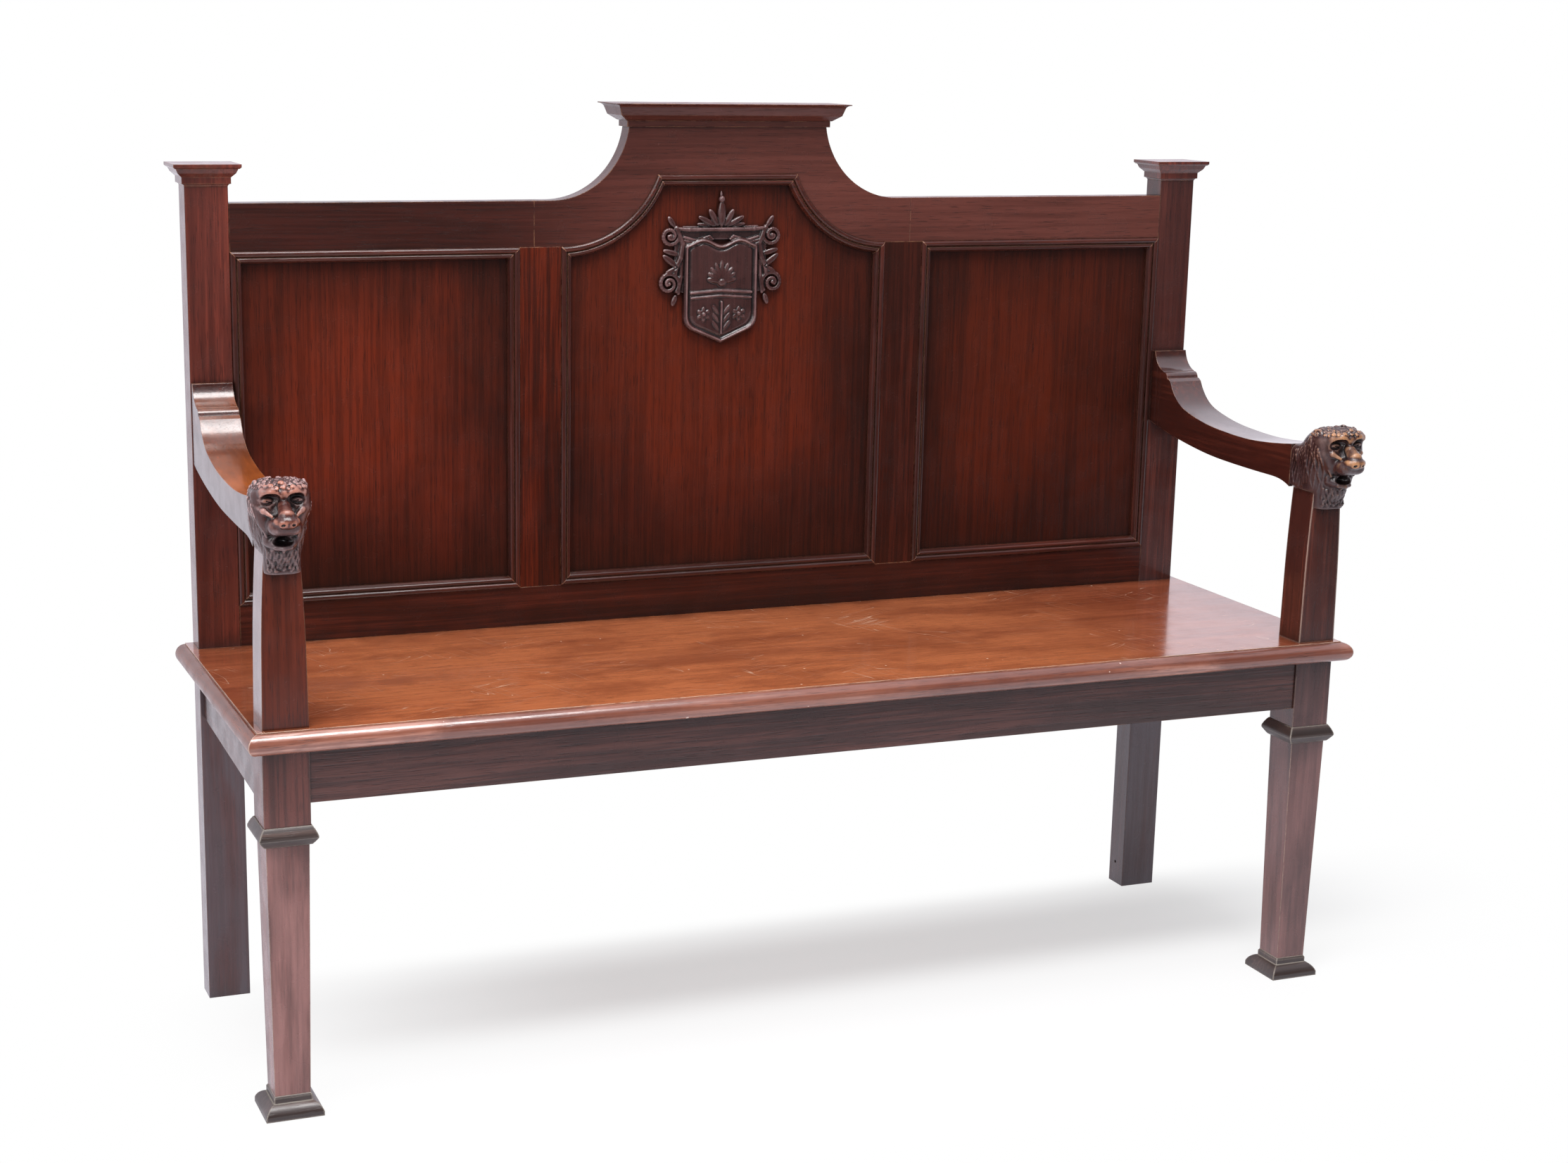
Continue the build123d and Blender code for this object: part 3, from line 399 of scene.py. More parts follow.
@dataclass(frozen=True)
class PolishedWood(Finish):
    """Mahogany under old french polish.

    Attributes:
        deep: colour of the dark streaks.
        body: colour of the wood.
        lit: colour of the lighter streaks, and of the painted lit middle of the board where there is one.
        worn: colour of the bare wood at worn edges.
        run: direction of the grain.
        seed: place in the log that the board was cut from.
        streaks: streaks to the metre.
        figure: strength of the broad figure.
        roughness: how dull the polish is.
        specular: strength of the polish's reflection.
        coat: how much of a second, clear coat there is.
        ripple: how high the polish ripples, against the grain.
        pores: how dark the pores are.
        mottle: how much darker the stained patches are.
        wear: how bare the edges are.
        dulling: how much duller bare wood is.
        dent: how deep bare wood lies, against the grain.
        reach: width of the worn edges, in metres.
        residue: strength of the residue and painted shade in the corners.
        residue_reach: how far the residue and painted shade reach from a corner, in metres.
        scratches: strength of the scratches.
        nicks: size of the chips, or 0 for none.
        glow: the painted lighter middle and darker border, if there is one.
        bloom: the painted floor reflection low on a leg, if there is one.
        rubbed_top: colour of the upper faces, rubbed wear with painted light from above, if there is any.
    """

    deep: RGB
    body: RGB
    lit: RGB
    worn: RGB = (0.30, 0.135, 0.065)
    run: GrainRun = GrainRun.LENGTHWISE
    seed: float = 0.0
    streaks: float = 220.0
    figure: float = 0.5
    roughness: float = 0.22
    specular: float = 0.45
    coat: float = 0.0
    ripple: float = 2.2
    pores: float = 0.45
    mottle: float = 0.0
    wear: float = 0.35
    dulling: float = 0.25
    dent: float = 0.8
    reach: float = 0.0016
    residue: float = 0.7
    residue_reach: float = 0.030
    scratches: float = 0.0
    nicks: float = 0.0
    glow: Optional[Glow] = None
    bloom: Optional[PaintedFloorReflection] = None
    rubbed_top: Optional[RGB] = None

    def shader(self, bench: NodeBench, effects: Effects, place: Socket) -> Socket:
        """Lays out the nodes of the finish.

        Args:
            bench: the bench for the nodes.
            effects: the shared effects.
            place: the place on the piece.

        Returns:
            The shader.
        """
        turned = bench.add("ShaderNodeMapping", {"Vector": place, "Rotation": self.run.value}).outputs[0]
        grain = effects.use(bench, "wood_grain", turned, seed=self.seed, streaks_per_metre=self.streaks)
        wear = effects.use(bench, "edge_wear", place, reach=self.reach, bareness=self.wear)
        settled_and_shaded = effects.use(bench, "corner_residue_and_shade", place, reach=self.residue_reach)["Residue"]

        tone = bench.plus(bench.times(grain["Streaks"], 1.0 - self.figure),
                          bench.times(grain["Figure"], self.figure))
        colour = bench.blend(tone, self.deep, self.body)
        bright = bench.span(tone, 0.55, 1.0, 0.0, 0.8)
        # Painted light: a lighter middle of the board and a darker border.
        if self.glow:
            glow = effects.use(bench, "painted_lit_middle", place, **vars(self.glow))["Glow"]
            bright = bench.times(glow, bench.span(tone, 0.0, 1.0, 0.55, 1.0))
        colour = bench.blend(bright, colour, self.lit)
        if self.mottle:
            stain = bench.noise(turned, 13.0, 6.0, 0.62, 0.50)
            colour = bench.blend(bench.span(stain, 0.44, 0.64, 0.0, self.mottle), colour, self.deep)
        colour = bench.blend(bench.times(grain["Pores"], self.pores), colour, OLD_DIRT_AND_SHADE)
        # Painted shade: corners darkened by ambient occlusion, together with old residue.
        colour = bench.blend(bench.times(settled_and_shaded, self.residue), colour, OLD_DIRT_AND_SHADE)
        # Painted reflection: a grey veil of the floor low on the piece.
        if self.bloom:
            height = bench.plus(bench.axis(place, "Z"), bench.cloud(place, 7.0, -0.05, 0.05))
            floor_veil = bench.span(height, self.bloom.low, self.bloom.high, self.bloom.strength, 0.0)
            rubbing = bench.noise(turned, 42.0, 4.0, 0.6, 0.12)
            floor_veil = bench.times(floor_veil, bench.span(tone, 0.1, 0.9, 0.62, 1.0),
                               bench.span(rubbing, 0.34, 0.60, 0.35, 1.0))
            colour = bench.blend(floor_veil, colour, self.bloom.colour)
        # Painted light together with rubbed wear: upward faces lighter, more so towards the front.
        if self.rubbed_top:
            upward = bench.axis(bench.add("ShaderNodeNewGeometry").outputs["Normal"], "Z")
            patch = bench.span(bench.noise(place, 16.0, 3.0), 0.35, 0.65, 0.60, 1.0)
            forwards = bench.span(bench.axis(place, "Y"), 0.13, -0.02, 0.30, 1.0)
            rubbed = bench.times(bench.span(upward, 0.35, 0.75), patch, bench.span(tone, 0.0, 1.0, 0.70, 1.0),
                                 forwards)
            colour = bench.blend(rubbed, colour, self.rubbed_top)
        bare = wear["Wear"]
        if self.scratches:
            scored = effects.use(bench, "scratches", place, amount=self.scratches)
            bare = bench.most(bare, scored["Scratches"])
        if self.nicks:
            bare = bench.most(bare, effects.use(bench, "nicks", place, size=self.nicks)["Nicks"])
        colour = bench.blend(bare, colour, self.worn)

        gloss = bench.plus(bench.cloud(place, 34.0, -0.05, 0.07), self.roughness)
        gloss = bench.maths("ADD", gloss, bench.times(bare, self.dulling), True)
        height = bench.minus(bench.times(grain["Streaks"], 0.5), grain["Pores"])
        height = bench.minus(height, bench.times(bare, self.dent))
        height = bench.plus(height, bench.times(bench.noise(place, 14.0, 1.0), self.ripple))
        relief = bench.add("ShaderNodeBump", {"Strength": 0.5, "Distance": GRAIN_DEPTH, "Height": height,
                                              "Normal": wear["Normal"]})
        return bench.add("ShaderNodeBsdfPrincipled", {
            "Base Color": colour, "Roughness": gloss, "Normal": relief.outputs[0],
            "Specular IOR Level": self.specular, "Coat Weight": self.coat,
            "Coat Roughness": COAT_ROUGHNESS}).outputs[0]


@dataclass(frozen=True)
class CarvedWood(Finish):
    """Carved mahogany, darkened in its hollows by dirt and painted shade, and lightened on its high places by
    rubbed wear and painted highlights.

    Attributes:
        body: colour of the wood.
        rubbed: colour of the high places, rubbed wear with a painted highlight.
        ochre: colour of the most worn places.
        rub: relief at which the rubbed wear and painted highlight begin, in millimetres.
        bare: relief at which the wood is worn bare and the painted highlight is full, in millimetres.
        low: height up to which the rubbed wear and painted highlight are weak, in metres.
        high: height from which they are full, in metres.
        snout: place along Y from which the snout is worn ochre, in metres, if there is one.
        snout_fade: distance over which that rubbing grows, in metres.
        grey: grey colour laid over the lower parts, if there is one.
        specular: strength of the polish's reflection.
        streaks: how dark the streaks of the grain are.
        residue: strength of the residue and painted shade in the corners.
    """

    body: RGB
    rubbed: RGB
    ochre: RGB
    rub: float = 0.05
    bare: float = 0.55
    low: float = 0.0
    high: float = 0.01
    snout: Optional[float] = None
    snout_fade: float = 0.022
    grey: Optional[RGB] = None
    specular: float = 0.6
    streaks: float = 0.35
    residue: float = 0.90

    def shader(self, bench: NodeBench, effects: Effects, place: Socket) -> Socket:
        """Lays out the nodes of the finish.

        Args:
            bench: the bench for the nodes.
            effects: the shared effects.
            place: the place on the piece.

        Returns:
            The shader.
        """
        relief = bench.add("ShaderNodeAttribute", attribute_name="relief").outputs["Fac"]
        turn = {"Vector": place, "Rotation": GrainRun.UPRIGHT.value}
        turned = bench.add("ShaderNodeMapping", turn).outputs[0]
        streaks = effects.use(bench, "wood_grain", turned, seed=2.5, streaks_per_metre=420.0)["Streaks"]
        settled_and_shaded = effects.use(bench, "corner_residue_and_shade", place, reach=0.018)["Residue"]
        patches = bench.noise(place, 48.0, 4.0)
        uneven = bench.plus(relief, bench.span(patches, *CLOUD_RANGE, -0.16, 0.16))
        # Painted shade together with dirt: the hollows of the carving darken.
        colour = bench.blend(bench.span(uneven, -0.45, 0.02), HOLLOW_DIRT_AND_SHADE, self.body)
        colour = bench.blend(bench.times(streaks, self.streaks), colour, HOLLOW_DIRT_AND_SHADE)
        handled = bench.span(bench.axis(place, "Z"), self.low, self.high, 0.22, 1.0)
        if self.grey:
            greyed_low = bench.times(bench.span(handled, 0.75, 0.30, 0.0, 0.7), bench.span(uneven, -0.35, 0.25))
            colour = bench.blend(greyed_low, colour, self.grey)
        # Painted highlight together with rubbed wear on the high places.
        rubbed = bench.times(bench.span(uneven, self.rub, self.bare), handled)
        colour = bench.blend(rubbed, colour, self.rubbed)
        gold = bench.times(bench.span(uneven, self.bare * 0.6, self.bare * 1.6),
                           bench.span(bench.noise(place, 21.0), 0.42, 0.60), handled)
        colour = bench.blend(gold, colour, self.ochre)
        if self.snout:
            ahead = bench.span(bench.axis(place, "Y"), self.snout, self.snout - self.snout_fade)
            above = bench.span(bench.axis(place, "Z"), self.high - 0.012, self.high - 0.006)
            nose = bench.times(ahead, above, bench.span(uneven, 0.0, 0.42), 0.8)
            colour = bench.blend(nose, colour, self.ochre)
        # Painted shade: hollows darkened by ambient occlusion, together with old residue.
        colour = bench.blend(bench.times(settled_and_shaded, self.residue), colour, HOLLOW_DIRT_AND_SHADE)
        height = bench.plus(bench.noise(place, 900.0), streaks)
        bump = bench.add("ShaderNodeBump", {"Strength": 0.35, "Distance": 0.0003, "Height": height})
        return bench.add("ShaderNodeBsdfPrincipled", {
            "Base Color": colour, "Roughness": bench.span(patches, *CLOUD_RANGE, 0.16, 0.30),
            "Normal": bump.outputs[0], "Specular IOR Level": self.specular}).outputs[0]


@dataclass(frozen=True)
class RawWood(Finish):
    """Unpolished carcass wood that has gone dull.

    Attributes:
        body: colour of the wood.
        deep: colour of its streaks.
        dust: colour of the dust on it.
    """

    body: RGB = (0.150, 0.070, 0.038)
    deep: RGB = (0.075, 0.032, 0.018)
    dust: RGB = (0.24, 0.20, 0.17)

    def shader(self, bench: NodeBench, effects: Effects, place: Socket) -> Socket:
        """Lays out the nodes of the finish.

        Args:
            bench: the bench for the nodes.
            effects: the shared effects.
            place: the place on the piece.

        Returns:
            The shader.
        """
        streaks = effects.use(bench, "wood_grain", place, seed=4.0, wave=0.03)["Streaks"]
        dusty = bench.noise(place, 40.0, 4.0)
        colour = bench.blend(streaks, self.deep, self.body)
        colour = bench.blend(bench.span(dusty, 0.45, 0.75, 0.0, 0.35), colour, self.dust)
        relief = bench.add("ShaderNodeBump", {"Strength": 0.6, "Distance": 0.0004, "Height": streaks})
        return bench.add("ShaderNodeBsdfPrincipled", {
            "Base Color": colour, "Roughness": bench.span(dusty, *CLOUD_RANGE, 0.62, 0.82),
            "Normal": relief.outputs[0], "Specular IOR Level": 0.2}).outputs[0]


@dataclass(frozen=True)
class DullSteel(Finish):
    """Old steel screws.

    Attributes:
        clean: colour of the steel.
        tarnished: colour of the tarnish on it.
    """

    clean: RGB = (0.30, 0.28, 0.26)
    tarnished: RGB = (0.09, 0.05, 0.03)

    def shader(self, bench: NodeBench, effects: Effects, place: Socket) -> Socket:
        """Lays out the nodes of the finish.

        Args:
            bench: the bench for the nodes.
            effects: the shared effects; not used.
            place: the place on the piece.

        Returns:
            The shader.
        """
        tarnish = bench.noise(place, 320.0, 4.0)
        return bench.add("ShaderNodeBsdfPrincipled", {
            "Base Color": bench.blend(bench.span(tarnish, 0.42, 0.62), self.clean, self.tarnished),
            "Roughness": bench.span(tarnish, *CLOUD_RANGE, 0.35, 0.75), "Metallic": 1.0}).outputs[0]


@dataclass
class PortraitCamera:
    """The camera that sees the bench as in its photograph.

    Attributes:
        place: where it stands, in metres, from the floor under the middle of the back's front face.
        yaw: turn to the right, in degrees.
        pitch: tilt down, in degrees.
        roll: roll, in degrees.
        focal_pixels: focal length in pixels of the image.
        axis_pixel: the pixel that the lens looks at.
        sensor: width of the sensor in millimetres.
    """

    place: Point = (-1.20672, -3.00907, 1.19571)
    yaw: float = 22.194932
    pitch: float = 13.453738
    roll: float = 1.072869
    focal_pixels: float = 3609.66669
    axis_pixel: tuple[float, float] = (1044.87525, 900.17902)
    sensor: float = 36.0

    def build(self) -> None:
        """Sets the camera up."""
        yaw, pitch, roll = (math.radians(turn) for turn in (self.yaw, self.pitch, self.roll))
        ahead = Vector((math.sin(yaw) * math.cos(pitch), math.cos(yaw) * math.cos(pitch), -math.sin(pitch)))
        level = Vector((math.cos(yaw), -math.sin(yaw), 0.0))
        above = level.cross(ahead)
        right = math.cos(roll) * level + math.sin(roll) * above
        up = -math.sin(roll) * level + math.cos(roll) * above
        data = bpy.data.cameras.new("portrait_camera")
        data.sensor_fit = "HORIZONTAL"
        data.sensor_width = self.sensor
        data.lens = self.focal_pixels / IMAGE_WIDTH * self.sensor
        data.shift_x = (IMAGE_WIDTH / 2 - self.axis_pixel[0]) / IMAGE_WIDTH
        data.shift_y = (self.axis_pixel[1] - IMAGE_HEIGHT / 2) / IMAGE_WIDTH
        camera = bpy.data.objects.new("portrait_camera", data)
        bpy.context.scene.collection.objects.link(camera)
        columns = Matrix((right, up, -ahead)).transposed().to_4x4()
        back_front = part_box("bottom_back_rail")[0][1]
        stand = Vector(self.place) + Vector((0.0, back_front, 0.0))
        camera.matrix_world = Matrix.Translation(stand) @ columns
        bpy.context.scene.camera = camera
        log.info("camera: %.1f mm lens", data.lens)


@dataclass(frozen=True)
class SoftLamp:
    """A large soft lamp.

    Attributes:
        name: its name.
        place: where it hangs, in metres.
        target: what it points at.
        size: its width and height, in metres.
        watts: its power.
        colour: its colour.
    """

    name: str
    place: Point
    target: Point
    size: tuple[float, float]
    watts: float
    colour: RGB = WHITE

    def build(self) -> None:
        """Hangs the lamp."""
        data = bpy.data.lights.new(self.name, "AREA")
        data.shape = "RECTANGLE"
        data.size, data.size_y = self.size
        data.energy = self.watts
        data.color = self.colour
        lamp = bpy.data.objects.new(self.name, data)
        lamp.location = self.place
        lamp.rotation_euler = (Vector(self.target) - Vector(self.place)).to_track_quat("-Z", "Y").to_euler()
        bpy.context.scene.collection.objects.link(lamp)


@dataclass
class Studio:
    """A pale floor, a white surround, which the polish sees dimmer before the bench, and soft lamps.

    Attributes:
        floor_half: half the floor's width, in metres.
        floor_colour: colour of the floor.
        fibre_colour: colour of its fibres.
        shade: how much of its shadow the floor shows in a band under the bench, and in a wider strip.
        band: where the band begins and ends, each over a distance, in metres before the middle.
        strip: where the strip begins and ends.
        across: where both end to the sides: the middle, and the range over which they fade.
        cast: colour of the white surround in the polish.
        sky_colour: colour of the light that the surround gives.
        sky_strength: strength of that light.
        room: how bright the room before the bench looks in the polish.
        wall: how bright its far end looks there.
        ceiling: how bright its ceiling looks there.
        lamps: the lamps.
    """

    floor_half: float = 40.0
    floor_colour: RGB = (0.86, 0.86, 0.87)
    fibre_colour: RGB = (0.80, 0.80, 0.81)
    shade: tuple[float, float] = (0.37, 0.19)
    band: tuple[float, float, float, float] = (-0.25, -0.10, 0.09, -0.04)
    strip: tuple[float, float, float, float] = (-0.27, -0.19, 0.55, 0.15)
    across: tuple[float, float, float] = (0.20, 1.05, 0.35)
    cast: RGB = (0.95, 0.91, 1.0)
    sky_colour: RGB = (0.95, 0.97, 1.0)
    sky_strength: float = 0.50
    room: float = 0.05
    wall: float = 0.30
    ceiling: float = 0.95
    lamps: tuple[SoftLamp, ...] = (
        SoftLamp("window_lamp", (-3.4, -2.4, 2.7), (-0.2, 0.0, 0.6), (2.6, 2.4), 80.0, (0.98, 0.99, 1.0)),
        SoftLamp("ceiling_lamp", (-0.4, -1.1, 3.6), (-0.1, 0.0, 0.4), (2.4, 1.3), 110.0),
    )

    def white(self, bench: NodeBench, kind: str, bright: Socket) -> tuple[Socket, Socket]:
        """Makes the white that only the camera, a mirror or a glass sees.

        Args:
            bench: the bench for the nodes.
            kind: type name of the shader.
            bright: how bright the place looks in the polish.

        Returns:
            The shader, and 1 for a ray that sees it.
        """
        path = bench.add("ShaderNodeLightPath").outputs
        mirrored = path["Is Glossy Ray"]
        seen = bench.most(bench.most(path["Is Camera Ray"], mirrored), path["Is Transmission Ray"])
        strength = bench.minus(1.0, bench.times(bench.minus(1.0, bright), mirrored))
        colour = bench.blend(mirrored, WHITE, self.cast)
        return bench.add(kind, {"Color": colour, "Strength": strength}).outputs[0], seen

    def floor(self) -> None:
        """Lays the floor."""
        half = self.floor_half
        mesh = bpy.data.meshes.new("studio_floor")
        mesh.from_pydata([(-half, -half, 0.0), (half, -half, 0.0), (half, half, 0.0), (-half, half, 0.0)], [],
                         [(0, 1, 2, 3)])
        floor = bpy.data.objects.new("studio_floor", mesh)
        bpy.context.scene.collection.objects.link(floor)
        paper = bpy.data.materials.new("pale_paper")
        bench = emptied(paper)
        place = bench.add("ShaderNodeTexCoord").outputs["Object"]
        fibres = bench.cloud(place, 350.0, 0.0, 0.02)
        matt = bench.add("ShaderNodeBsdfDiffuse",
                         {"Color": bench.blend(fibres, self.floor_colour, self.fibre_colour)})
        ahead = bench.times(bench.axis(place, "Y"), -1.0)
        room = bench.plus(bench.span(ahead, 1.0, 2.3, 1.0, self.room),
                          bench.span(ahead, 5.0, 14.0, 0.0, self.wall - self.room))
        white, seen = self.white(bench, "ShaderNodeEmission", room)
        band, strip = (bench.times(bench.span(ahead, *edges[:2]), bench.span(ahead, *edges[2:]), part)
                       for edges, part in zip((self.band, self.strip), self.shade))
        aside = bench.maths("ABSOLUTE", bench.minus(bench.axis(place, "X"), self.across[0]))
        shade = bench.times(bench.plus(band, strip), bench.span(aside, *self.across[1:]))
        share = bench.times(bench.minus(1.0, shade), seen)
        mix = bench.add("ShaderNodeMixShader", {0: share, 1: matt.outputs[0], 2: white})
        bench.add("ShaderNodeOutputMaterial", {"Surface": mix.outputs[0]})
        mesh.materials.append(paper)

    def surround(self) -> None:
        """Makes the white surround."""
        world = bpy.data.worlds.new("studio")
        bpy.context.scene.world = world
        bench = emptied(world)
        soft = bench.add("ShaderNodeBackground",
                         {"Color": (*self.sky_colour, 1.0), "Strength": self.sky_strength})
        heading = bench.add("ShaderNodeTexCoord").outputs["Generated"]
        before = bench.span(bench.axis(heading, "Y"), 0.10, -0.30)
        high = bench.axis(heading, "Z")
        level = bench.plus(bench.span(high, 0.0, 0.30, self.wall, self.room),
                           bench.span(high, 0.45, 0.75, 0.0, self.ceiling - self.room))
        bright = bench.minus(1.0, bench.times(before, bench.minus(1.0, level)))
        white, seen = self.white(bench, "ShaderNodeBackground", bright)
        mix = bench.add("ShaderNodeMixShader", {0: seen, 1: soft.outputs[0], 2: white})
        bench.add("ShaderNodeOutputWorld", {"Surface": mix.outputs[0]})

    def build(self) -> None:
        """Builds the studio."""
        self.surround()
        self.floor()
        for lamp in self.lamps:
            lamp.build()
        bpy.context.scene.view_settings.view_transform = "Standard"
        log.info("studio: floor, surround and %d lamps", len(self.lamps))


@dataclass
class Dresser:
    """Puts the finishes on the bench's own pieces.

    Attributes:
        effects: the shared effects.
    """

    effects: Effects

    def dress(self, look: Finish, *names: str) -> None:
        """Gives a finish to pieces of the frame.

        Args:
            look: the finish.
            names: the pieces' names.
        """
        made = look.material(self.effects)
        for name in names:
            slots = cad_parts[name].material_slots
            if not slots:
                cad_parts[name].data.materials.append(made)
            for slot in slots:
                slot.material = made
        log.info("%s: %s", look.name, ", ".join(names))

    def replace(self, node: str, piece: bpy.types.Object, look: Finish) -> None:
        """Puts a new piece in the place of one of the frame.

        Args:
            node: the frame's piece.
            piece: the new piece.
            look: its finish.
        """
        piece.data.materials.append(look.material(self.effects))
        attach(piece, "root")
        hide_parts(node)
        log.info("%s: carved, %d points", node, len(piece.data.vertices))


def pair(name: str) -> tuple[str, str]:
    """The names of a piece's left and right copies."""
    return name + "_left", name + "_right"


def footing(name: str) -> Point:
    """Where a carving's grid starts: the middle, back and bottom of the solid it replaces."""
    low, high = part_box(name)
    return (low[0] + high[0]) / 2, high[1], low[2]


def soft_min(first: np.ndarray, second: np.ndarray, soft: float) -> np.ndarray:
    """The lower of two distances, blended where they are near each other.

    Args:
        first: one distance.
        second: the other distance.
        soft: how wide the blend is.

    Returns:
        The blended distance.
    """
    if soft <= 0:
        return np.minimum(first, second)
    share = np.clip(0.5 + 0.5 * (second - first) / soft, 0.0, 1.0)
    return second + (first - second) * share - soft * share * (1.0 - share)


@dataclass
class Clay:
    """A block on a grid, in millimetres, that soft forms are added to and cut from.

    Attributes:
        low: the block's lowest corner.
        high: its highest corner.
        step: the grid's step.
    """

    low: Point
    high: Point
    step: float = 0.7

    def __post_init__(self) -> None:
        """Starts with an empty block."""
        counts = np.ceil((np.array(self.high) - np.array(self.low)) / self.step).astype(int) + 1
        self.axes = [self.low[i] + self.step * np.arange(counts[i]) for i in range(3)]
        self.depth = np.full(tuple(counts), EMPTY_DEPTH, dtype=np.float32)

    def window(self, low: np.ndarray, high: np.ndarray) -> tuple[tuple[slice, ...], list[np.ndarray]]:
        """Picks the part of the grid that lies inside a box.

        Args:
            low: the box's lowest corner.
            high: its highest corner.

        Returns:
            The slices of that part, and its coordinates.
        """
        cuts = []
        for i in range(3):
            first = max(int((low[i] - self.low[i]) / self.step), 0)
            last = min(int((high[i] - self.low[i]) / self.step) + 2, self.depth.shape[i])
            cuts.append(slice(first, max(last, first)))
        return tuple(cuts), [self.axes[i][cuts[i]].reshape(GRID_AXES[i]) for i in range(3)]

    def apply(self, cuts: tuple[slice, ...], form: np.ndarray, soft: float, take: bool) -> None:
        """Adds a form to the block, or takes it away.

        Args:
            cuts: the part of the grid that the form touches.
            form: the form's distances.
            soft: how widely it blends in.
            take: whether it is cut away.
        """
        sign = -1 if take else 1
        self.depth[cuts] = sign * soft_min(sign * self.depth[cuts], form, soft)

    def egg(self, middle: Point, radii: Point, soft: float = 3.0, take: bool = False,
            turn: Optional[Point] = None) -> None:
        """Adds or cuts an ellipsoid.

        Args:
            middle: its middle.
            radii: its radii.
            soft: how widely it blends in.
            take: whether it is cut away.
            turn: its turn about X, Y and Z in degrees.
        """
        reach = max(radii) + 3 * soft + 2
        centre = np.array(middle)
        cuts, (x, y, z) = self.window(centre - reach, centre + reach)
        x, y, z = x - middle[0], y - middle[1], z - middle[2]
        if turn:
            spin = np.array(Euler([math.radians(a) for a in turn]).to_matrix().transposed())
            x, y, z = (spin[i][0] * x + spin[i][1] * y + spin[i][2] * z for i in range(3))
        near = np.sqrt((x / radii[0]) ** 2 + (y / radii[1]) ** 2 + (z / radii[2]) ** 2) + 1e-6
        slope = np.sqrt((x / radii[0] ** 2) ** 2 + (y / radii[1] ** 2) ** 2 + (z / radii[2] ** 2) ** 2) + 1e-6
        self.apply(cuts, near * (near - 1.0) / slope, soft, take)

    def box(self, middle: Point, half: Point, rounding: float, soft: float = 3.0, take: bool = False) -> None:
        """Adds or cuts a box with rounded edges.

        Args:
            middle: its middle.
            half: its half sizes.
            rounding: radius of its edges.
            soft: how widely it blends in.
            take: whether it is cut away.
        """
        centre = np.array(middle)
        reach = np.array(half) + 3 * soft + 2
        cuts, spots = self.window(centre - reach, centre + reach)
        parts = [np.abs(spot - middle[i]) - (half[i] - rounding) for i, spot in enumerate(spots)]
        outer = np.sqrt(sum(np.maximum(part, 0.0) ** 2 for part in parts))
        inner = np.minimum(np.maximum(np.maximum(parts[0], parts[1]), parts[2]), 0.0)
        self.apply(cuts, outer + inner - rounding, soft, take)

    def strand(self, points: list[Point], radii: list[float], soft: float = 1.0, take: bool = False) -> None:
        """Adds or cuts a chain of tapered rods.

        Args:
            points: the places that it passes through.
            radii: its radius at each place.
            soft: how widely it blends in.
            take: whether it is cut away.
        """
        for i in range(len(points) - 1):
            a, b = (np.array(point) for point in points[i:i + 2])
            reach = max(radii[i], radii[i + 1]) + 3 * soft + 2
            cuts, (x, y, z) = self.window(np.minimum(a, b) - reach, np.maximum(a, b) + reach)
            run = b - a
            length = float(run @ run) + 1e-6
            along = ((x - a[0]) * run[0] + (y - a[1]) * run[1] + (z - a[2]) * run[2]) / length
            along = np.clip(along, 0.0, 1.0)
            off = np.sqrt((x - a[0] - along * run[0]) ** 2 + (y - a[1] - along * run[1]) ** 2
                          + (z - a[2] - along * run[2]) ** 2)
            self.apply(cuts, off - (radii[i] + along * (radii[i + 1] - radii[i])), soft, take)

    def keep_beyond(self, axis: int, level: float) -> None:
        """Cuts away everything below a level along one axis."""
        spots = self.axes[axis].reshape(GRID_AXES[axis])
        self.depth = np.maximum(self.depth, level - spots).astype(np.float32)

    def take_corner(self, y: float, z: float) -> None:
        """Cuts away what lies both below a y and below a z."""
        ys, zs = (self.axes[i].reshape(GRID_AXES[i]) for i in (1, 2))
        self.depth = np.maximum(self.depth, -np.maximum(ys - y, zs - z)).astype(np.float32)

    def surface(self, start: Point, heading: Point) -> Point:
        """Finds where a ray from inside the block leaves it.

        Args:
            start: a place inside the block.
            heading: the ray's direction.

        Returns:
            The place on the surface.
        """
        spot = np.array(start)
        unit = np.array(Vector(heading).normalized())
        last = np.array(self.depth.shape) - 1
        for _ in range(RAY_STEPS):
            cell = np.clip(((spot - self.low) / self.step).round().astype(int), 0, last)
            away = float(self.depth[tuple(cell)])
            if away >= 0.0:
                break
            spot = spot + unit * max(-away * 0.7, self.step * 0.5)
        return tuple(float(value) for value in spot)

    def smoothed(self, reach: float) -> np.ndarray:
        """Averages the distances over a small box round each place.

        Args:
            reach: half the box's width.

        Returns:
            The averaged distances.
        """
        cells = max(int(round(reach / self.step)), 1)
        width = 2 * cells + 1
        soft = self.depth
        for axis in range(3):
            pad = [(0, 0)] * 3
            pad[axis] = (cells + 1, cells)
            sums = np.cumsum(np.pad(soft, pad, mode="edge"), axis=axis, dtype=np.float64)
            ahead = np.take(sums, np.arange(width, sums.shape[axis]), axis=axis)
            behind = np.take(sums, np.arange(0, sums.shape[axis] - width), axis=axis)
            soft = ((ahead - behind) / width).astype(np.float32)
        return soft

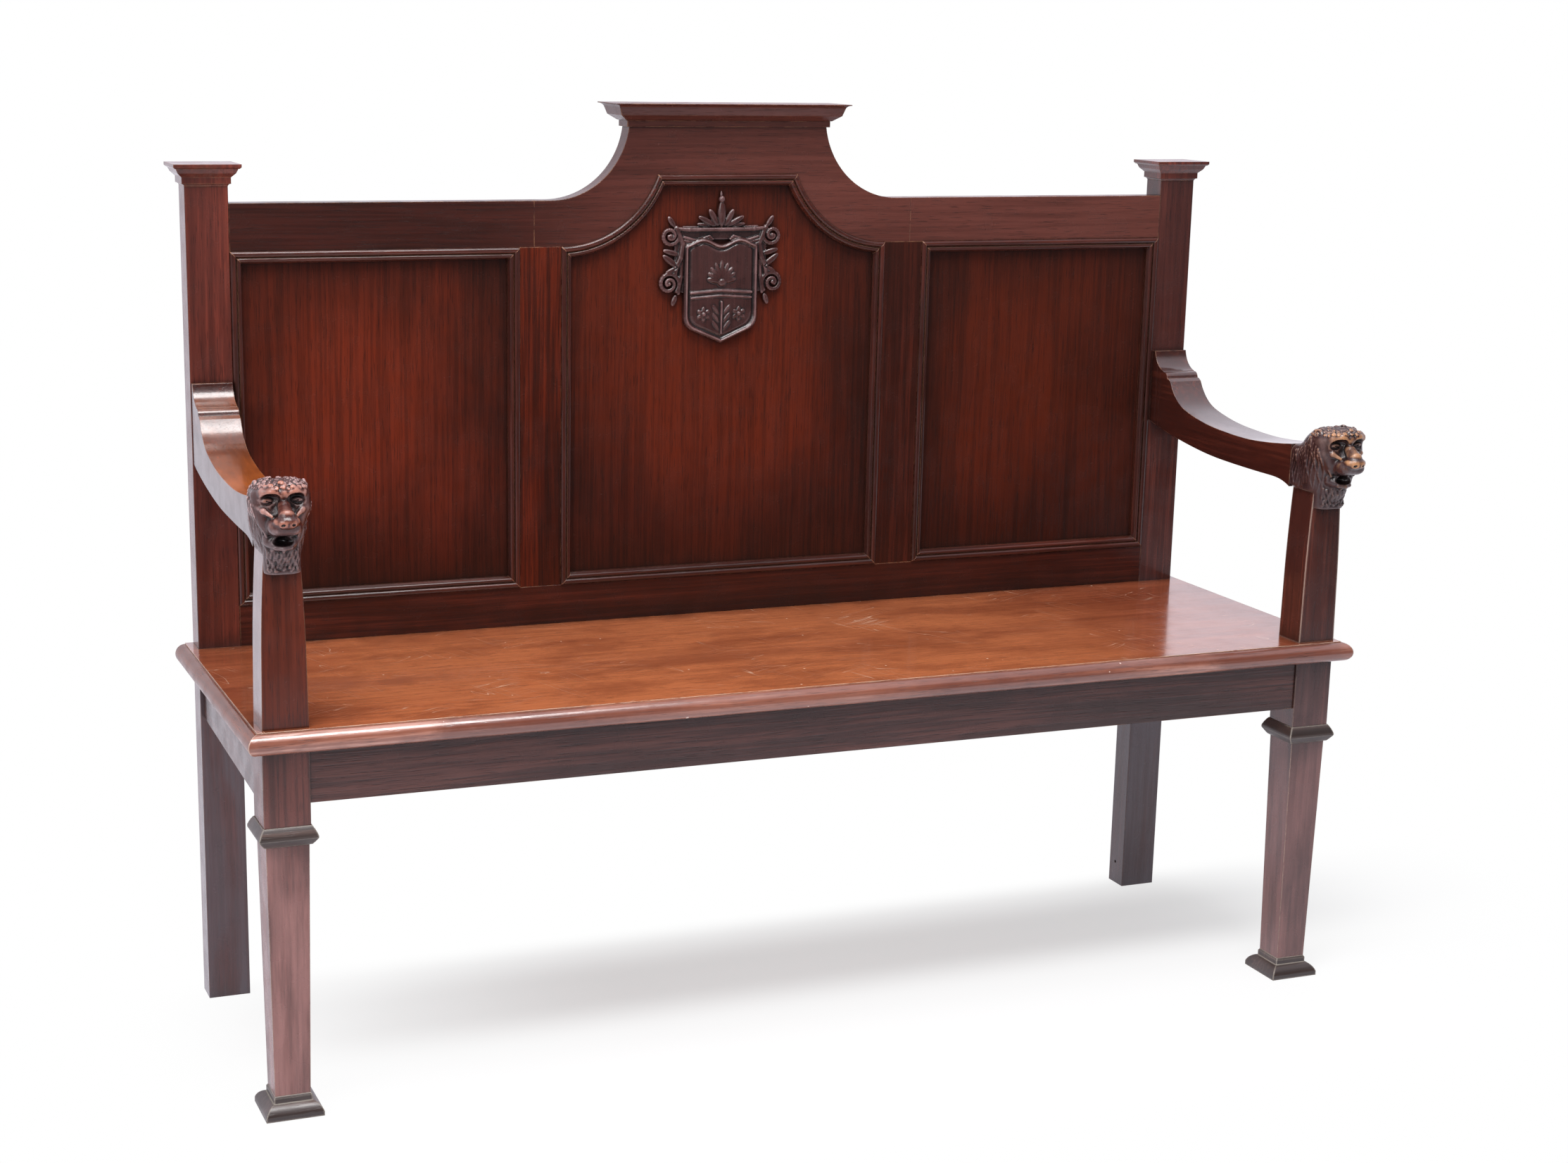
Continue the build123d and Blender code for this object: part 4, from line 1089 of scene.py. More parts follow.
    def skin(self) -> tuple[np.ndarray, np.ndarray]:
        """Finds the block's surface, with one point in each grid cell that it passes through.

        Returns:
            The points in grid cells, and the four-sided faces between them.
        """
        depth = self.depth
        inside = depth < 0
        shape = np.array(depth.shape) - 1
        corners = [(i, j, k) for i in (0, 1) for j in (0, 1) for k in (0, 1)]
        count = sum(inside[i:shape[0] + i, j:shape[1] + j, k:shape[2] + k].astype(np.int8)
                    for i, j, k in corners)
        mixed = (count > 0) & (count < len(corners))
        cells = np.argwhere(mixed)
        value = {c: depth[cells[:, 0] + c[0], cells[:, 1] + c[1], cells[:, 2] + c[2]] for c in corners}
        total = np.zeros((len(cells), 3))
        hits = np.zeros(len(cells))
        for near in corners:
            for axis in range(3):
                if near[axis]:
                    continue
                far = tuple(part + int(i == axis) for i, part in enumerate(near))
                crossed = (value[near] < 0) != (value[far] < 0)
                share = np.where(crossed, value[near] / np.where(crossed, value[near] - value[far], 1.0), 0.0)
                total += (np.array(near) + np.outer(share, np.eye(3)[axis])) * crossed[:, None]
                hits += crossed
        number = np.full(tuple(shape), -1)
        number[mixed] = np.arange(len(cells))
        return cells + total / hits[:, None], self.faces(inside, number)

    def faces(self, inside: np.ndarray, number: np.ndarray) -> np.ndarray:
        """Joins the points of the surface.

        Args:
            inside: whether each grid place is inside the block.
            number: the number of the point in each grid cell.

        Returns:
            The faces, as four point numbers each.
        """
        made = []
        for axis in range(3):
            one, two = [i for i in range(3) if i != axis]
            before, after = [slice(1, -1)] * 3, [slice(1, -1)] * 3
            before[axis], after[axis] = slice(0, -1), slice(1, None)
            spot = np.argwhere(inside[tuple(before)] != inside[tuple(after)])
            spot[:, one] += 1
            spot[:, two] += 1
            ring = []
            for back_one, back_two in ((1, 1), (0, 1), (0, 0), (1, 0)):
                cell = spot.copy()
                cell[:, one] -= back_one
                cell[:, two] -= back_two
                ring.append(number[cell[:, 0], cell[:, 1], cell[:, 2]])
            quads = np.stack(ring, axis=1)
            outward = inside[spot[:, 0], spot[:, 1], spot[:, 2]]
            if axis == 1:
                outward = ~outward
            quads[~outward] = quads[~outward][:, ::-1]
            made.append(quads)
        return np.concatenate(made)

    def mesh(self, name: str, place: Point, facing: Point) -> bpy.types.Object:
        """Makes the block's surface into a mesh with the relief of each point as an attribute.

        Args:
            name: the object's name.
            place: where the grid's zero lies, in metres.
            facing: 1 or -1 along each axis; -1 mirrors the block.

        Returns:
            The new object.
        """
        spots, quads = self.skin()
        nearest = np.clip(np.round(spots).astype(int), 0, np.array(self.depth.shape) - 1)
        index = tuple(nearest[:, i] for i in range(3))
        relief = self.smoothed(RELIEF_REACH)[index] - self.depth[index]
        points = (self.low + spots * self.step) * MM * np.array(facing) + np.array(place)
        if math.prod(facing) < 0:
            quads = quads[:, ::-1]
        mesh = bpy.data.meshes.new(name)
        mesh.vertices.add(len(points))
        mesh.vertices.foreach_set("co", points.astype(np.float32).ravel())
        mesh.loops.add(quads.size)
        mesh.loops.foreach_set("vertex_index", np.ascontiguousarray(quads).ravel().astype(np.int32))
        mesh.polygons.add(len(quads))
        mesh.polygons.foreach_set("loop_start", np.arange(0, quads.size, 4, dtype=np.int32))
        mesh.polygons.foreach_set("use_smooth", np.ones(len(quads), dtype=bool))
        mesh.update(calc_edges=True)
        mesh.validate()
        layer = mesh.attributes.new("relief", "FLOAT", "POINT")
        layer.data.foreach_set("value", relief.astype(np.float32))
        made = bpy.data.objects.new(name, mesh)
        bpy.context.scene.collection.objects.link(made)
        return made


@dataclass
class LionHead(Clay):
    """A lion head carved in the round, with an open mouth, a curled crown, a mane and a beard.

    Its grid has x away from the bench's middle, y forwards from the arm's end and z up from the beard's foot.

    Attributes:
        low: the block's lowest corner.
        high: its highest corner.
        face_x: how far the face stands off the block's middle.
        seed: the start of the curls' random places.
        crown_middle: place that the rows of curls on the crown turn about.
        rows: how many rows there are.
        first_row: rise of the lowest row from level, in degrees.
        row_gap: rise from one row to the next, in degrees.
        widest_row: curls in a row that would be level.
        crown_reach: how far round from the front the curls reach, in degrees.
        hairline: height at which they begin.
        locks: locks of the mane on each side.
        beard_locks: locks of the beard.
        pieces: straight pieces that a lock is made of.
    """

    low: Point = (-37.0, -4.0, -4.0)
    high: Point = (37.0, 110.0, 110.0)
    face_x: float = 2.0
    seed: int = 5
    crown_middle: Point = (0.5, 50.0, 66.0)
    rows: int = 10
    first_row: float = 22.0
    row_gap: float = 7.4
    widest_row: int = 34
    crown_reach: float = 128.0
    hairline: float = 94.5
    locks: int = 17
    beard_locks: int = 13
    pieces: int = 8

    def beside(self, side: int, *points: Point) -> list[Point]:
        """Points on one side of the face, given by their distance from its middle."""
        return [(self.face_x + side * x, y, z) for x, y, z in points]

    def masses(self) -> None:
        """Builds up the skull, the brows, the cheeks, the muzzle, the jaw and the neck."""
        mid = self.face_x
        self.box((-4.1, 8.0, 47.6), (24.4, 14.0, 27.6), 9.0, 0.0)
        self.egg((-0.6, 33.0, 57.0), (30.0, 36.0, 42.5), 5.0)
        self.box((-3.2, 26.0, 34.0), (21.5, 24.0, 20.0), 12.0, 6.0)
        self.box((0.8, 51.5, 79.0), (32.0, 24.0, 22.8), 19.0, 5.0)
        self.egg((mid, 64.0, 62.0), (25.5, 17.0, 20.0), 5.0)
        for side in (-1, 1):
            brow = self.beside(side, (26.0, 61.0, 87.0), (19.5, 73.0, 92.0), (11.5, 78.5, 93.0),
                               (4.0, 79.5, 90.0))
            self.strand(brow, [4.2, 5.2, 5.4, 4.4], 4.0)
        self.strand([(mid, 76.0, 97.0), (mid, 79.5, 91.0), (mid, 78.5, 84.0)], [5.4, 4.6, 3.0], 2.5)
        self.egg((mid, 77.0, 58.0), (16.5, 18.0, 12.0), 4.0)
        self.egg((mid - 0.5, 58.0, 36.0), (17.5, 19.0, 10.0), 4.0)
        self.box((-1.6, 38.0, 15.0), (20.0, 21.0, 24.0), 13.0, 5.0)
        self.egg((mid - 1.0, 54.0, 24.0), (15.0, 12.5, 13.0), 4.0)

    def eyes(self, side: int) -> None:
        """Carves the socket, the eye with its lid line, and the cheekbone on one side.

        Args:
            side: -1 for the inner side and 1 for the outer side.
        """
        socket, corner, ball = self.beside(side, (16.5, 83.0, 84.0), (9.5, 86.0, 77.5), (16.0, 67.6, 83.0))
        self.egg(socket, (13.0, 13.0, 7.6), 1.6, True, (0.0, side * 14.0, -side * 16.0))
        self.egg(corner, (5.5, 11.0, 8.0), 2.5, True, (0.0, -side * 30.0, 0.0))
        self.egg(ball, (8.6, 6.6, 4.2), 1.4, False, (0.0, 0.0, -side * 14.0))
        lid = self.beside(side, (23.0, 67.5, 84.5), (15.5, 74.2, 82.4), (9.5, 72.0, 80.0))
        self.strand(lid, [0.5, 0.7, 0.5], 0.5, True)
        bone = self.beside(side, (29.5, 50.0, 82.0), (26.0, 62.5, 77.5), (20.0, 74.0, 72.5),
                           (13.0, 82.0, 67.5))
        self.strand(bone, [2.2, 3.4, 3.2, 1.6], 1.8)

    def muzzle(self, side: int) -> None:
        """Carves the wing of the nose, the nostril, the pad and the fold of the cheek on one side.

        Args:
            side: -1 for the inner side and 1 for the outer side.
        """
        wing, nostril, pad = self.beside(side, (9.6, 92.5, 64.0), (6.0, 103.4, 61.2), (9.8, 83.0, 56.5))
        self.egg(wing, (4.2, 6.0, 4.0), 2.0)
        self.egg(nostril, (2.6, 3.2, 1.7), 0.7, True, (0.0, side * 25.0, 0.0))
        self.egg(pad, (8.0, 12.0, 8.4), 4.0)
        self.strand(self.beside(side, (18.0, 70.0, 62.0), (19.0, 68.0, 52.0), (16.5, 69.0, 44.0)),
                    [1.6, 2.0, 1.4], 1.5)

    def face(self) -> None:
        """Carves the sockets, the eyes, the nose, the muzzle and the mouth."""
        mid = self.face_x
        for side in (-1, 1):
            self.eyes(side)
        self.strand([(mid, 73.0, 83.0), (mid, 80.0, 78.0), (mid, 91.5, 69.0)], [3.6, 6.2, 9.0], 2.5)
        self.egg((mid, 94.2, 63.6), (12.4, 10.2, 7.6), 2.0)
        for side in (-1, 1):
            self.muzzle(side)
        self.strand([(mid, 105.0, 63.0), (mid, 102.0, 54.0), (mid, 95.0, 49.0)], [0.8, 0.9, 0.8], 0.6, True)
        self.egg((mid, 88.0, 38.8), (10.5, 26.0, 8.4), 1.2, True)
        self.egg((mid, 76.0, 39.0), (13.0, 9.0, 5.2), 1.5, True)
        lip = (*self.beside(-1, (12.0, 65.0, 34.4), (8.0, 73.0, 32.6)), (mid, 76.5, 31.8),
               *self.beside(1, (8.0, 73.0, 32.6), (12.0, 65.0, 34.4)))
        self.strand(lip, [2.0, 2.4, 2.5, 2.4, 2.0], 1.0)
        self.egg((mid, 68.0, 32.0), (6.0, 7.0, 2.4), 1.0)
        for side in (-1, 1):
            corner = self.beside(side, (14.5, 66.5, 47.0), (17.0, 62.5, 42.0), (16.0, 62.0, 36.5),
                                 (12.0, 66.5, 34.0))
            self.strand(corner, [2.2, 2.6, 2.4, 2.0], 1.5)
            self.egg((mid + side * 13.0, 58.0, 40.0), (6.0, 9.0, 8.0), 2.5)

    def curl(self, middle: Point, outward: Point, size: float, turns: float,
             thick: float) -> None:
        """Adds a spiral lock that lies on the surface.

        Args:
            middle: the spiral's middle.
            outward: the direction out of the head.
            size: the spiral's radius.
            turns: how many turns it has.
            thick: radius of the lock.
        """
        axis = Vector(outward).normalized()
        across = axis.cross(Vector((0.0, 0.35, 0.94))).normalized()
        up = across.cross(axis)
        points, radii = [], []
        count = int(12 * turns)
        for number in range(count + 1):
            share = number / count
            angle = 2 * math.pi * turns * share
            reach = size * (1.0 - 0.85 * share)
            spot = Vector(middle) + reach * (math.cos(angle) * across + math.sin(angle) * up)
            points.append(tuple(spot + axis * (0.35 * size * share)))
            radii.append(thick * (1.0 - 0.3 * share))
        self.strand(points, radii, 0.5)

    def crown(self) -> None:
        """Covers the crown with rows of small curls."""
        rng = random.Random(self.seed)
        for row in range(self.rows):
            lift = self.first_row + row * self.row_gap
            around = max(int(self.widest_row * math.cos(math.radians(lift))), 3)
            for number in range(around):
                swing = -self.crown_reach + 2 * self.crown_reach * (number + 0.5 * (row % 2)) / around
                a = math.radians(swing + rng.uniform(-2.0, 2.0))
                b = math.radians(lift + rng.uniform(-1.5, 1.5))
                heading = (math.sin(a) * math.cos(b), math.cos(a) * math.cos(b), math.sin(b))
                spot = self.surface(self.crown_middle, heading)
                if spot[2] < self.hairline - 5.0 * (abs(swing) > 100) or spot[1] < 14.0:
                    continue
                sunk = tuple(part - 0.9 * way for part, way in zip(spot, heading))
                self.curl(sunk, heading, rng.uniform(2.2, 2.9), 1.1, rng.uniform(1.1, 1.4))

    def mane(self) -> None:
        """Lays wavy locks down both sides, behind the cheeks."""
        rng = random.Random(self.seed + 1)
        for side in (-1, 1):
            ear = self.surface((0.0, 52.0, 91.0), (side, 0.0, 0.12))
            self.curl(tuple(part - side * 2.0 * (i == 0) for i, part in enumerate(ear)),
                      (side, 0.1, 0.25), 6.0, 1.3, 2.3)
            for number in range(self.locks):
                share = number / (self.locks - 1)
                start_y = 62.0 - 56.0 * share
                start_z = 74.0 + 15.0 * math.sin(math.pi * min(share * 1.25, 1.0)) - 6.0 * share
                fall = 62.0 - 18.0 * share
                points, radii = [], []
                thick = rng.uniform(1.5, 2.4)
                for piece in range(self.pieces + 1):
                    down = piece / self.pieces
                    y = start_y + 2.2 * math.sin(down * 7.0 + number * 1.3) - 6.0 * down * (1.0 - share)
                    z = start_z - fall * down
                    if z < 3.0:
                        break
                    spot = self.surface((0.0, max(y, 2.0), z), (side, 0.0, 0.0))
                    points.append((spot[0] - side * (thick - 0.60), spot[1], spot[2]))
                    radii.append(thick * (1.0 - 0.3 * down))
                if len(points) > 1:
                    self.strand(points, radii, 0.9)

    def beard(self) -> None:
        """Lays the locks of the beard, each with a small curl at its end."""
        rng = random.Random(self.seed + 2)
        for number in range(self.beard_locks):
            share = number / (self.beard_locks - 1) * 2 - 1
            points, radii = [], []
            top = rng.uniform(24.0, 32.0)
            foot = rng.uniform(4.0, 9.0)
            thick = rng.uniform(1.5, 2.1)
            for piece in range(self.pieces + 1):
                down = piece / self.pieces
                x = share * (15.5 + 2.0 * down) + 1.9 * math.sin(down * 9.0 + number * 2.3)
                z = top + (foot - top) * down
                spot = self.surface((x * 0.55, 44.0, z), (share * 0.55, 1.0, 0.0))
                points.append((spot[0] * 0.98, spot[1] - thick + 0.9, spot[2]))
                radii.append(thick * (1.0 - 0.2 * down))
            self.strand(points, radii, 0.8)
            tip = points[-1]
            self.egg((tip[0], tip[1] + 0.4, tip[2]), (1.9, 1.9, 1.9), 0.5)

    def carve(self) -> None:
        """Carves the head."""
        self.masses()
        self.face()
        self.crown()
        self.mane()
        self.beard()
        self.keep_beyond(1, 0.3)
        self.keep_beyond(2, 0.4)
        self.take_corner(45.3, 20.8)


@dataclass
class ShieldCartouche(Clay):
    """A plain decorative shield with scrolled sides, a bar above it and a leaf finial.

    Its grid has x across, y out of the panel and z up from the shield's tip.

    Attributes:
        low: the block's lowest corner.
        high: its highest corner.
        half_width: half the shield's width.
        height: its height.
        tip_slope: slope of the two lower edges.
        thick: how far the field stands out.
    """

    low: Point = (-92.0, -4.0, -4.0)
    high: Point = (92.0, 16.0, 197.0)
    half_width: float = 50.0
    height: float = 132.0
    tip_slope: float = 0.42
    thick: float = 7.0

    def body(self) -> None:
        """Adds the shield with a domed field and a rim."""
        x = np.abs(self.axes[0].reshape(GRID_AXES[0]))
        y = self.axes[1].reshape(GRID_AXES[1])
        z = self.axes[2].reshape(GRID_AXES[2])
        lean = math.atan(self.tip_slope)
        bottom = x * math.sin(lean) - z * math.cos(lean)
        dip = 4.0 * np.cos(np.clip(x / self.half_width, 0.0, 1.0) * 2 * math.pi)
        top = z - self.height + 3.0 + dip
        edge = -soft_min(-(x - self.half_width), -bottom, 12.0)
        edge = -soft_min(-edge, -top, 3.0)
        dome = 1.8 * np.clip(1.0 - (x / self.half_width) ** 2, 0.0, 1.0)
        rim = 2.0 * np.exp(-((edge + 3.0) / 1.7) ** 2)
        moat = 1.4 * np.exp(-((edge + 7.0) / 1.8) ** 2)
        form = -soft_min(-edge, -(y - self.thick - dome - rim + moat), 1.6)
        self.depth = soft_min(self.depth, form, 0.5).astype(np.float32)

    def leaf(self, root: tuple[float, float], length: float, angle: float, width: float,
             lift: float) -> None:
        """Adds a leaf with a groove along it.

        Args:
            root: the x and z that it grows from.
            length: its length.
            angle: its lean from upright in degrees, to the right.
            width: its half width.
            lift: how far its middle stands out of the panel.
        """
        lean = math.radians(angle)
        ahead = (math.sin(lean), math.cos(lean))
        middle = (root[0] + ahead[0] * length / 2, lift, root[1] + ahead[1] * length / 2)
        self.egg(middle, (width, width * 0.75, length / 2), 0.8, False, (0.0, angle, 0.0))
        tip = (root[0] + ahead[0] * length * 0.85, lift + width * 0.9, root[1] + ahead[1] * length * 0.85)
        self.strand([(root[0] + ahead[0], lift + width * 0.9, root[1] + ahead[1]), tip],
                    [width * 0.32, width * 0.12], 0.4, True)

    def motifs(self) -> None:
        """Adds a palmette, a band with bosses and two rosettes to the field."""
        face = self.thick + 1.2
        for number in range(9):
            angle = -80.0 + 20.0 * number
            self.leaf((0.0, 78.0), 27.0 - 0.09 * abs(angle), angle, 3.3, face + 0.4)
        self.egg((0.0, face + 1.0, 77.0), (6.0, 3.4, 5.0), 1.0)
        for end, thick in ((64.0, 1.9), (57.5, 1.3)):
            self.strand([(-41.0, face - 0.6, end), (0.0, face + 0.8, end + 3.0), (41.0, face - 0.6, end)],
                        [thick] * 3, 0.8)
        for side in (-1, 1):
            for number in range(6):
                self.leaf((side * 24.0, 37.0), 9.5, 60.0 * number, 2.6, face)
            self.egg((side * 24.0, face + 1.4, 37.0), (2.8, 2.4, 2.8), 0.6)
            for number in range(3):
                self.leaf((side * 3.0, 17.0 + 10.0 * number), 15.0, side * 38.0, 2.5, face + 0.3)
        self.strand([(0.0, face + 1.0, 12.0), (0.0, face + 1.6, 52.0)], [1.2, 1.7], 0.6)

    def volute(self, middle: tuple[float, float], size: float, turns: float, begin: float,
               wind: int) -> None:
        """Adds a spiral scroll.

        Args:
            middle: its middle.
            size: its radius.
            turns: how many turns it has.
            begin: the angle of its outer end, in degrees.
            wind: 1 or -1 for the way it winds.
        """
        points, radii = [], []
        count = int(18 * turns)
        for number in range(count + 1):
            share = number / count
            angle = math.radians(begin + wind * 360.0 * turns * share)
            reach = size * (1.0 - 0.80 * share)
            points.append((middle[0] + reach * math.cos(angle), 3.6 + 3.0 * share,
                           middle[1] + reach * math.sin(angle)))
            radii.append(3.0 - 0.8 * share)
        self.strand(points, radii, 0.6)
        self.egg((middle[0], 5.5, middle[1]), (3.0, 3.6, 3.0), 0.8)

    def sides(self) -> None:
        """Adds the scrolls and leaves on both sides."""
        for side in (-1, 1):
            self.box((side * 56.0, 1.6, 104.0), (7.0, 2.4, 40.0), 2.0, 1.0)
            self.volute((side * 69.0, 136.0), 13.0, 1.6, 90.0 + side * 40.0, side)
            self.volute((side * 70.5, 76.0), 14.5, 1.7, -90.0 - side * 50.0, -side)
            self.strand([(side * 60.0, 4.2, 144.0), (side * 52.0, 4.6, 126.0), (side * 55.0, 4.8, 108.0),
                         (side * 61.0, 4.8, 96.0), (side * 62.0, 4.6, 88.0)], [3.0, 3.4, 3.8, 3.4, 3.0], 1.0)
            self.strand([(side * 53.0, 3.6, 104.0), (side * 54.0, 3.8, 84.0), (side * 57.0, 3.6, 64.0)],
                        [2.6, 3.0, 2.6], 1.0)
            for x, z, length, angle, width, lift in (
                    (58.0, 96.0, 26.0, 52.0, 4.2, 4.4), (57.0, 112.0, 22.0, 74.0, 3.8, 4.2),
                    (60.0, 96.0, 17.0, 118.0, 3.6, 4.4), (60.0, 62.0, 15.0, 160.0, 3.6, 3.6),
                    (62.0, 146.0, 17.0, 34.0, 3.4, 3.6)):
                self.leaf((side * x, z), length, side * angle, width, lift)

    def head(self) -> None:
        """Adds the bar, the folds under it and the leaf finial."""
        self.box((0.0, 1.5, 139.0), (52.0, 2.5, 9.0), 2.0, 1.0)
        self.strand([(-62.0, 4.5, 145.0), (-44.0, 6.2, 143.5), (44.0, 6.2, 143.5), (62.0, 4.5, 145.0)],
                    [2.2, 2.6, 2.6, 2.2], 0.8)
        for side in (-1, 1):
            for row in range(3):
                fold = [(50.0, 5.0, 134.0 - 4.5 * row), (34.0 - 2.0 * row, 5.6, 129.5 - 4.0 * row),
                        (16.0 - 2.0 * row, 5.6, 135.5 - 2.0 * row)]
                self.strand([(side * x, y, z) for x, y, z in fold], [2.0, 2.3, 1.5], 0.7)
            for x, length, angle, width, lift in ((4.0, 25.0, 30.0, 4.2, 4.4), (7.0, 27.0, 62.0, 4.0, 4.0),
                                                  (14.0, 19.0, 80.0, 3.0, 3.6)):
                self.leaf((side * x, 147.0), length, side * angle, width, lift)
        self.leaf((0.0, 146.0), 33.0, 0.0, 5.4, 5.0)
        self.egg((0.0, 4.6, 181.0), (4.0, 4.0, 4.6), 1.0)
        self.strand([(0.0, 2.6, 182.0), (0.0, 2.4, 190.5)], [2.6, 1.0], 0.8)

    def carve(self) -> None:
        """Carves the shield."""
        self.sides()
        self.head()
        self.body()
        self.motifs()
        self.keep_beyond(1, 0.05)


@dataclass
class BackFrame:
    """Posts, caps, rails, muntins and the crest board.

    Attributes:
        dresser: puts the finishes on.
    """

    dresser: Dresser

    def dress(self) -> None:
        """Polishes the frame."""
        rail = PolishedWood("rail_polish", "frame_wood", (0.026, 0.006, 0.004), (0.062, 0.012, 0.007),
                            (0.095, 0.018, 0.010), seed=1.3, specular=0.35, residue_reach=0.045)
        # Painted light: the crest and top rails get a lighter middle, centred to the right, and a darker
        # border.
        crest = replace(rail, name="crest_polish", deep=(0.022, 0.006, 0.004), body=(0.055, 0.012, 0.008),
                        lit=(0.122, 0.036, 0.027), specular=0.42,
                        glow=Glow((0.36, 0.0, 0.95), (0.75, 1.0, 1.0), 0.45))
        muntin = replace(rail, name="muntin_polish", deep=(0.020, 0.006, 0.004), body=(0.048, 0.010, 0.006),
                         lit=(0.070, 0.014, 0.008), run=GrainRun.UPRIGHT, seed=2.9, specular=0.25)
        # Painted light: a lighter copy of the muntin polish for the left muntin, on the side the light comes
        # from.
        lit_muntin = replace(muntin, name="lit_left_muntin_polish", body=(0.082, 0.012, 0.005),
                       lit=(0.125, 0.017, 0.006))
        # Painted reflection: the posts show a grey veil of the floor low down.
        post = PolishedWood("post_polish", "post_wood", (0.060, 0.013, 0.009), (0.140, 0.027, 0.017),
                            (0.190, 0.038, 0.023), run=GrainRun.UPRIGHT, seed=5.1, coat=0.4,
                            bloom=PaintedFloorReflection((0.090, 0.074, 0.088), 0.30, 0.48, 0.9))
        # Painted shade: a darker copy of the post polish for the right post.
        shaded = replace(post, name="shaded_right_post_polish", deep=(0.040, 0.010, 0.008),
                         body=(0.088, 0.022, 0.016), lit=(0.125, 0.030, 0.021))
        self.dresser.dress(rail, "bottom_back_rail")
        self.dresser.dress(crest, "crest_rail", *pair("top_rail"), "cornice_front", "cornice_back",
                           *pair("cornice_return"))
        self.dresser.dress(lit_muntin, "muntin_left")
        self.dresser.dress(muntin, "muntin_right")
        self.dresser.dress(post, "back_post_left", *pair("post_cap"))
        self.dresser.dress(shaded, "back_post_right")


@dataclass
class Panels:
    """The three panels, the mouldings round them and the shield.

    Attributes:
        dresser: puts the finishes on.
        fade: width of a panel's painted darker border, in metres.
        glow_shift: how far the painted lighter middle lies off the panel's middle, in metres.
        glow_spread: how far it reaches past the panel, in metres.
    """

    dresser: Dresser
    fade: float = 0.18
    glow_shift: Point = (-0.020, 0.0, 0.030)
    glow_spread: Point = (0.025, 0.0, 0.020)

    def polish_panels(self) -> None:
        """Polishes the panels."""
        # Painted light: each panel gets a lighter middle and a darker border, and its lit colour falls from
        # the left panel to the right one.
        for name, seed, lit in (("side_panel_left", 3.1, (0.142, 0.020, 0.008)),
                                ("centre_panel", 7.7, (0.112, 0.017, 0.007)),
                                ("side_panel_right", 11.9, (0.086, 0.014, 0.006))):
            low, high = (Vector(corner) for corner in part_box(name))
            middle = (low + high) / 2 + Vector(self.glow_shift)
            glow = Glow(tuple(middle), tuple((high - low) / 2 + Vector(self.glow_spread)), self.fade)
            look = PolishedWood(name + "_polish", "panel_wood", (0.022, 0.007, 0.005), (0.046, 0.010, 0.006),
                                lit, run=GrainRun.UPRIGHT, seed=seed, figure=0.22, specular=0.20,
                                residue_reach=0.06, glow=glow)
            self.dresser.dress(look, name)

    def polish_mouldings(self) -> None:
        """Polishes the mouldings."""
        level = PolishedWood("level_moulding_polish", "moulding_wood", (0.026, 0.007, 0.005),
                             (0.064, 0.013, 0.008), (0.095, 0.019, 0.011), worn=(0.40, 0.18, 0.10), seed=1.9,
                             specular=0.6, roughness=0.20, wear=0.7, reach=0.0015, residue_reach=0.012)
        upright = replace(level, name="upright_moulding_polish", run=GrainRun.UPRIGHT, seed=6.3)
        sides = ("left_panel_moulding_", "right_panel_moulding_", "centre_panel_moulding_")
        self.dresser.dress(level, *(side + edge for side in sides for edge in ("top", "bottom")),
                           *pair("centre_panel_moulding_curve"))
        self.dresser.dress(upright, *(side + edge for side in sides for edge in ("left", "right")))

    def dress(self) -> None:
        """Polishes the panels and their mouldings, and hangs the shield."""
        self.polish_panels()
        self.polish_mouldings()
        # The shield's high places carry a painted lavender highlight with its wear.
        look = CarvedWood("shield_polish", "carved_wood", (0.056, 0.018, 0.016), (0.160, 0.080, 0.080),
                          (0.280, 0.175, 0.165), rub=0.12, bare=0.80, specular=0.7)
        shield = ShieldCartouche()
        shield.carve()
        made = shield.mesh("carved_shield", footing("shield_cartouche"), (1, -1, 1))
        self.dresser.replace("shield_cartouche", made, look)


